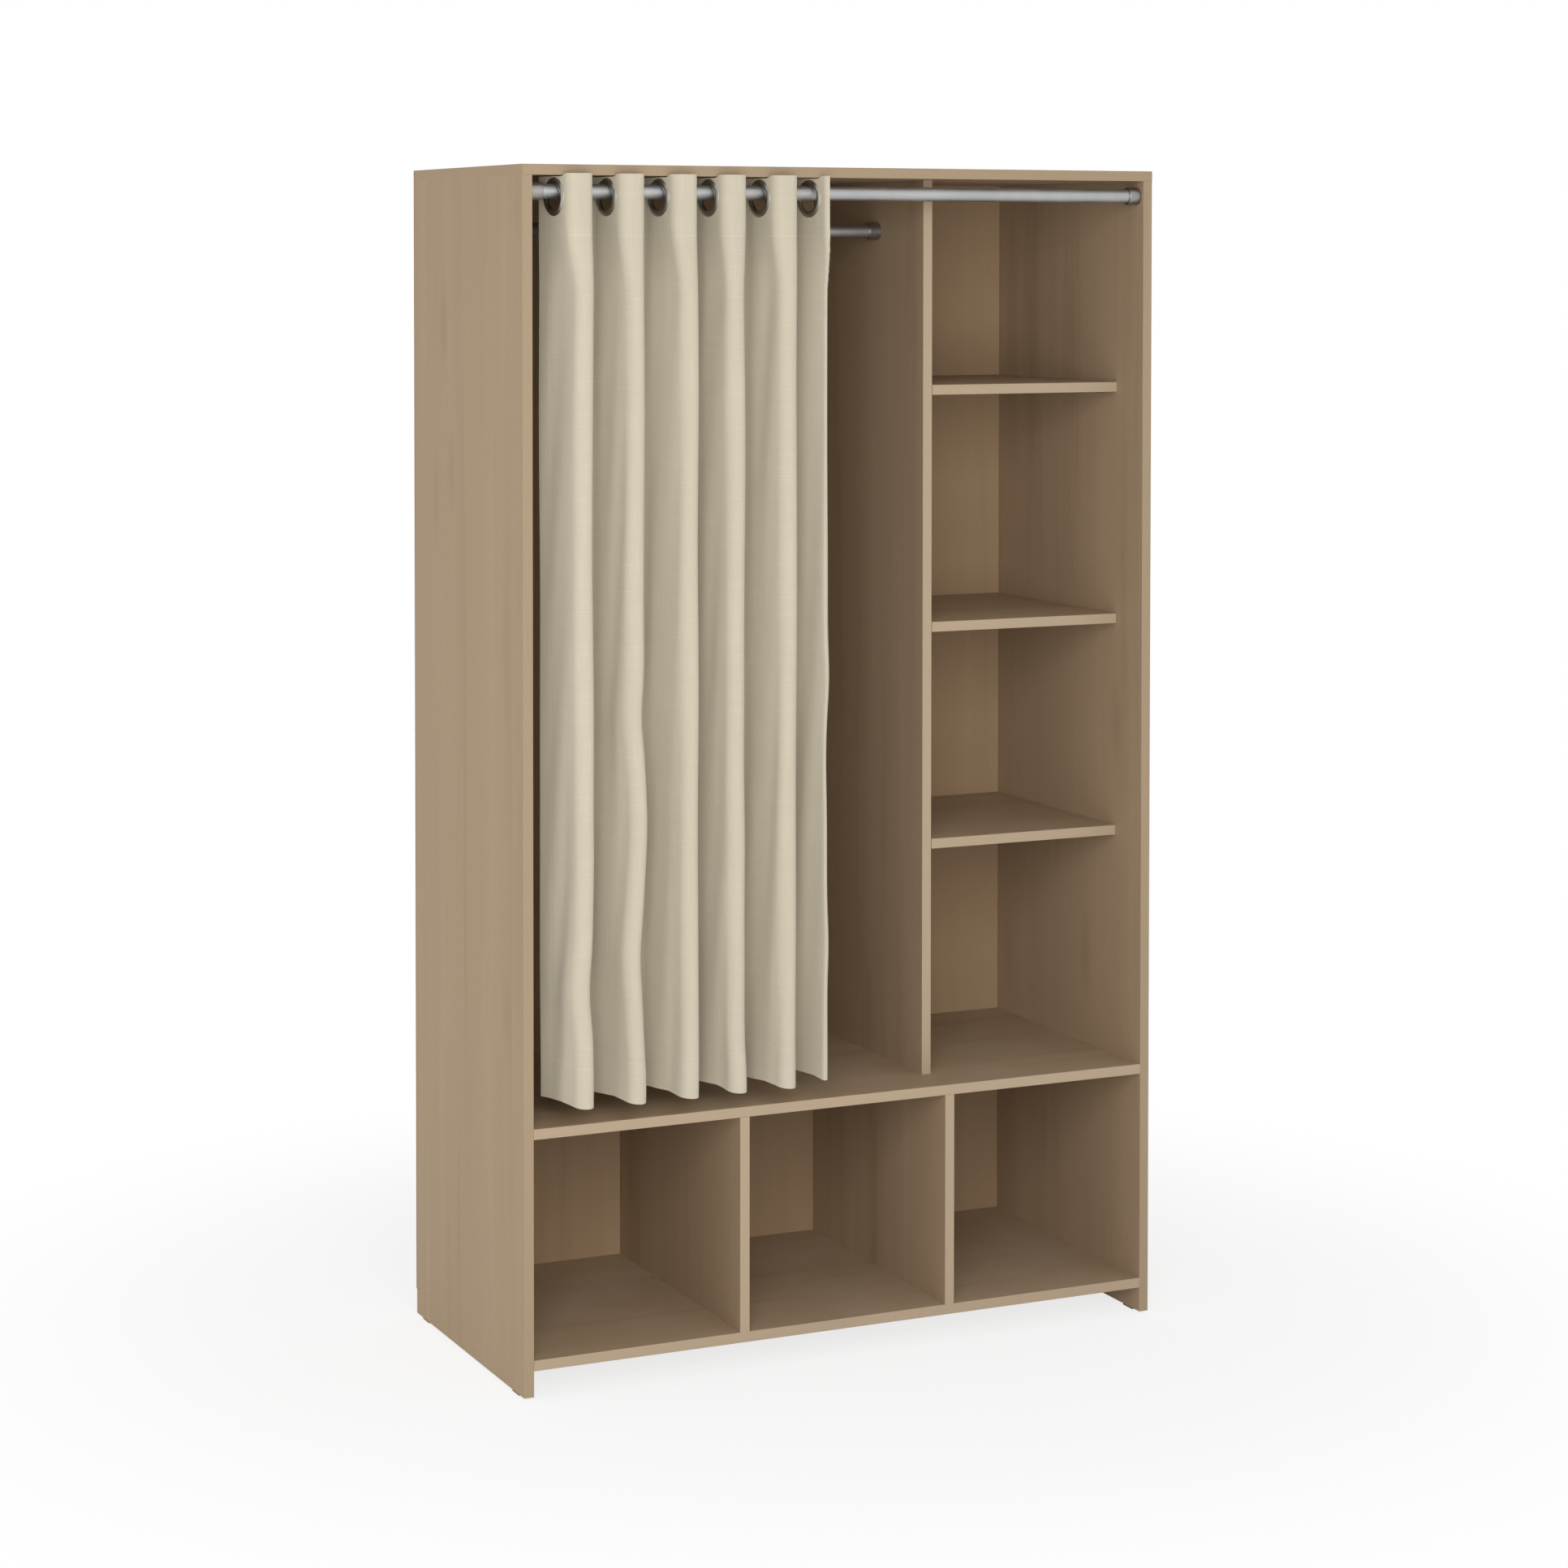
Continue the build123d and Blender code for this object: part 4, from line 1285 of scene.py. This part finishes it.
    def hang_rings(self, cloth: Cloth) -> list[Object]:
        """Put one ring through the cloth at each crossing.

        Args:
            cloth: The whole cloth.

        Returns:
            The rings from left to right.
        """
        nickel = self.eyelets.finish.material()
        rings = []
        for number, column in enumerate(cloth.cuts[1:-1], start=1):
            row = int(np.argmin(np.abs(cloth.points[:, column, 2] - self.ring_level)))
            axis, centre = Vector(cloth.normals[row, column]), cloth.centres[column]
            ring = self.eyelets.build(f"eyelet_ring_{number:02d}", centre, axis, nickel)
            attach(ring, f"fold_{number:02d}")
            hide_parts(f"curtain_eyelet_{number:02d}")
            rings.append(ring)
            LOG.info("%s: hung at x %.1f mm", ring.name, centre.x / MM)
        return rings


@dataclass(frozen=True)
class Softbox:
    """One square area lamp, its size in metres and its power in watts."""

    name: str
    place: Place
    target: Place
    size: float
    power: float

    def hang(self) -> None:
        """Hang the lamp so that it faces its target."""
        data = bpy.data.lights.new(self.name, "AREA")
        data.size = self.size
        data.energy = self.power
        lamp = add_object(data)
        lamp.location = self.place
        lamp.rotation_euler = (Vector(self.target) - Vector(self.place)).to_track_quat("-Z", "Y").to_euler()


@dataclass
class Studio:
    """The floor, the light and the camera at the photograph's place."""

    lens_pixels: float = 4449.36
    centre_right: float = 8.64
    centre_down: float = -508.09
    yaw: float = math.radians(25.022)
    pitch: float = math.radians(1.828)
    roll: float = math.radians(0.043)
    place: Place = (-2.44421, -5.25404, 1.71297)
    sensor: float = 36.0
    sight: float = 60.0
    world_light: float = 0.58
    front_box: Softbox = Softbox("front_softbox", (-1.45, -3.75, 1.75), (0.0, 0.0, 0.85), 2.4, 96.0)
    left_box: Softbox = Softbox("left_softbox", (-3.8, 0.3, 1.3), (-0.54, 0.0, 0.85), 1.6, 17.0)
    floor_side: float = 14.0
    floor_tones: tuple[Colour, Colour] = ((0.90, 0.90, 0.90), (0.93, 0.93, 0.93))
    fade: tuple[float, float] = (0.7, 1.7)
    fade_start: float = 0.78

    def aim(self) -> None:
        """Place the camera that the photograph was taken with."""
        data = bpy.data.cameras.new("camera")
        data.sensor_width = self.sensor
        data.lens = self.lens_pixels * data.sensor_width / PHOTO_SIDE
        data.shift_x = -self.centre_right / PHOTO_SIDE
        data.shift_y = self.centre_down / PHOTO_SIDE
        data.clip_end = self.sight
        camera = add_object(data)
        ahead = Vector((math.sin(self.yaw) * math.cos(self.pitch), math.cos(self.yaw) * math.cos(self.pitch),
                        -math.sin(self.pitch)))
        right = Vector((math.cos(self.yaw), -math.sin(self.yaw), 0.0))
        up = right.cross(ahead)
        rolled_right = math.cos(self.roll) * right + math.sin(self.roll) * up
        rolled_up = math.cos(self.roll) * up - math.sin(self.roll) * right
        axes = Matrix((rolled_right, rolled_up, -ahead)).transposed()
        camera.matrix_world = Matrix.Translation(Vector(self.place)) @ axes.to_4x4()
        bpy.context.scene.camera = camera

    def light(self) -> None:
        """Hang the lamps and set a sky that is white to look at and softer as a light."""
        world = bpy.data.worlds.new("soft_sky")
        bpy.context.scene.world = world
        graph = Graph(empty_tree(world))
        seen = graph.seen_by("Camera", "Glossy", "Transmission")
        strength = graph.spread(seen, 0.0, 1.0, self.world_light, 1.0)
        sky = graph.add("Background", {"Color": WHITE, "Strength": strength})
        graph.add("OutputWorld", {"Surface": sky.outputs[0]})
        self.front_box.hang()
        self.left_box.hang()

    def floor(self) -> None:
        """Lay a pale floor that keeps the shadow near the wardrobe and fades to white."""
        mesh = bpy.data.meshes.new("floor")
        corners = ((-1, -1), (1, -1), (1, 1), (-1, 1))
        mesh.from_pydata([(x * self.floor_side, y * self.floor_side, 0) for x, y in corners], [],
                         [(0, 1, 2, 3)])
        material = bpy.data.materials.new("pale_floor")
        graph = Graph(empty_tree(material))
        where = graph.add("TexCoord").outputs["Object"]
        grit = graph.noise(where, 40.0, detail=3.0)
        matt = graph.add("BsdfDiffuse", {"Color": graph.mix(grit, *self.floor_tones)})
        white = graph.add("Emission", {"Color": WHITE, "Strength": 1.0})
        distance = graph.add("VectorMath", {0: where}, operation="LENGTH").outputs["Value"]
        fade = graph.product(graph.spread(distance, *self.fade, self.fade_start, 1.0),
                             graph.seen_by("Camera", "Glossy"))
        both = graph.add("MixShader", {0: fade, 1: matt.outputs[0], 2: white.outputs[0]})
        graph.add("OutputMaterial", {"Surface": both.outputs[0]})
        mesh.materials.append(material)
        add_object(mesh)

    def build(self) -> None:
        """Set up the floor, the light and the camera."""
        self.floor()
        self.light()
        self.aim()
        bpy.context.scene.view_settings.view_transform = "Standard"
        LOG.info("studio: ready")


def main() -> None:
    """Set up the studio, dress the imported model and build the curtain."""
    logging.basicConfig(level=logging.INFO, format="%(name)s: %(message)s")
    Studio().build()
    Carcass().dress()
    Metalwork().dress()
    Curtain().build()


if __name__ == "__main__":
    main()
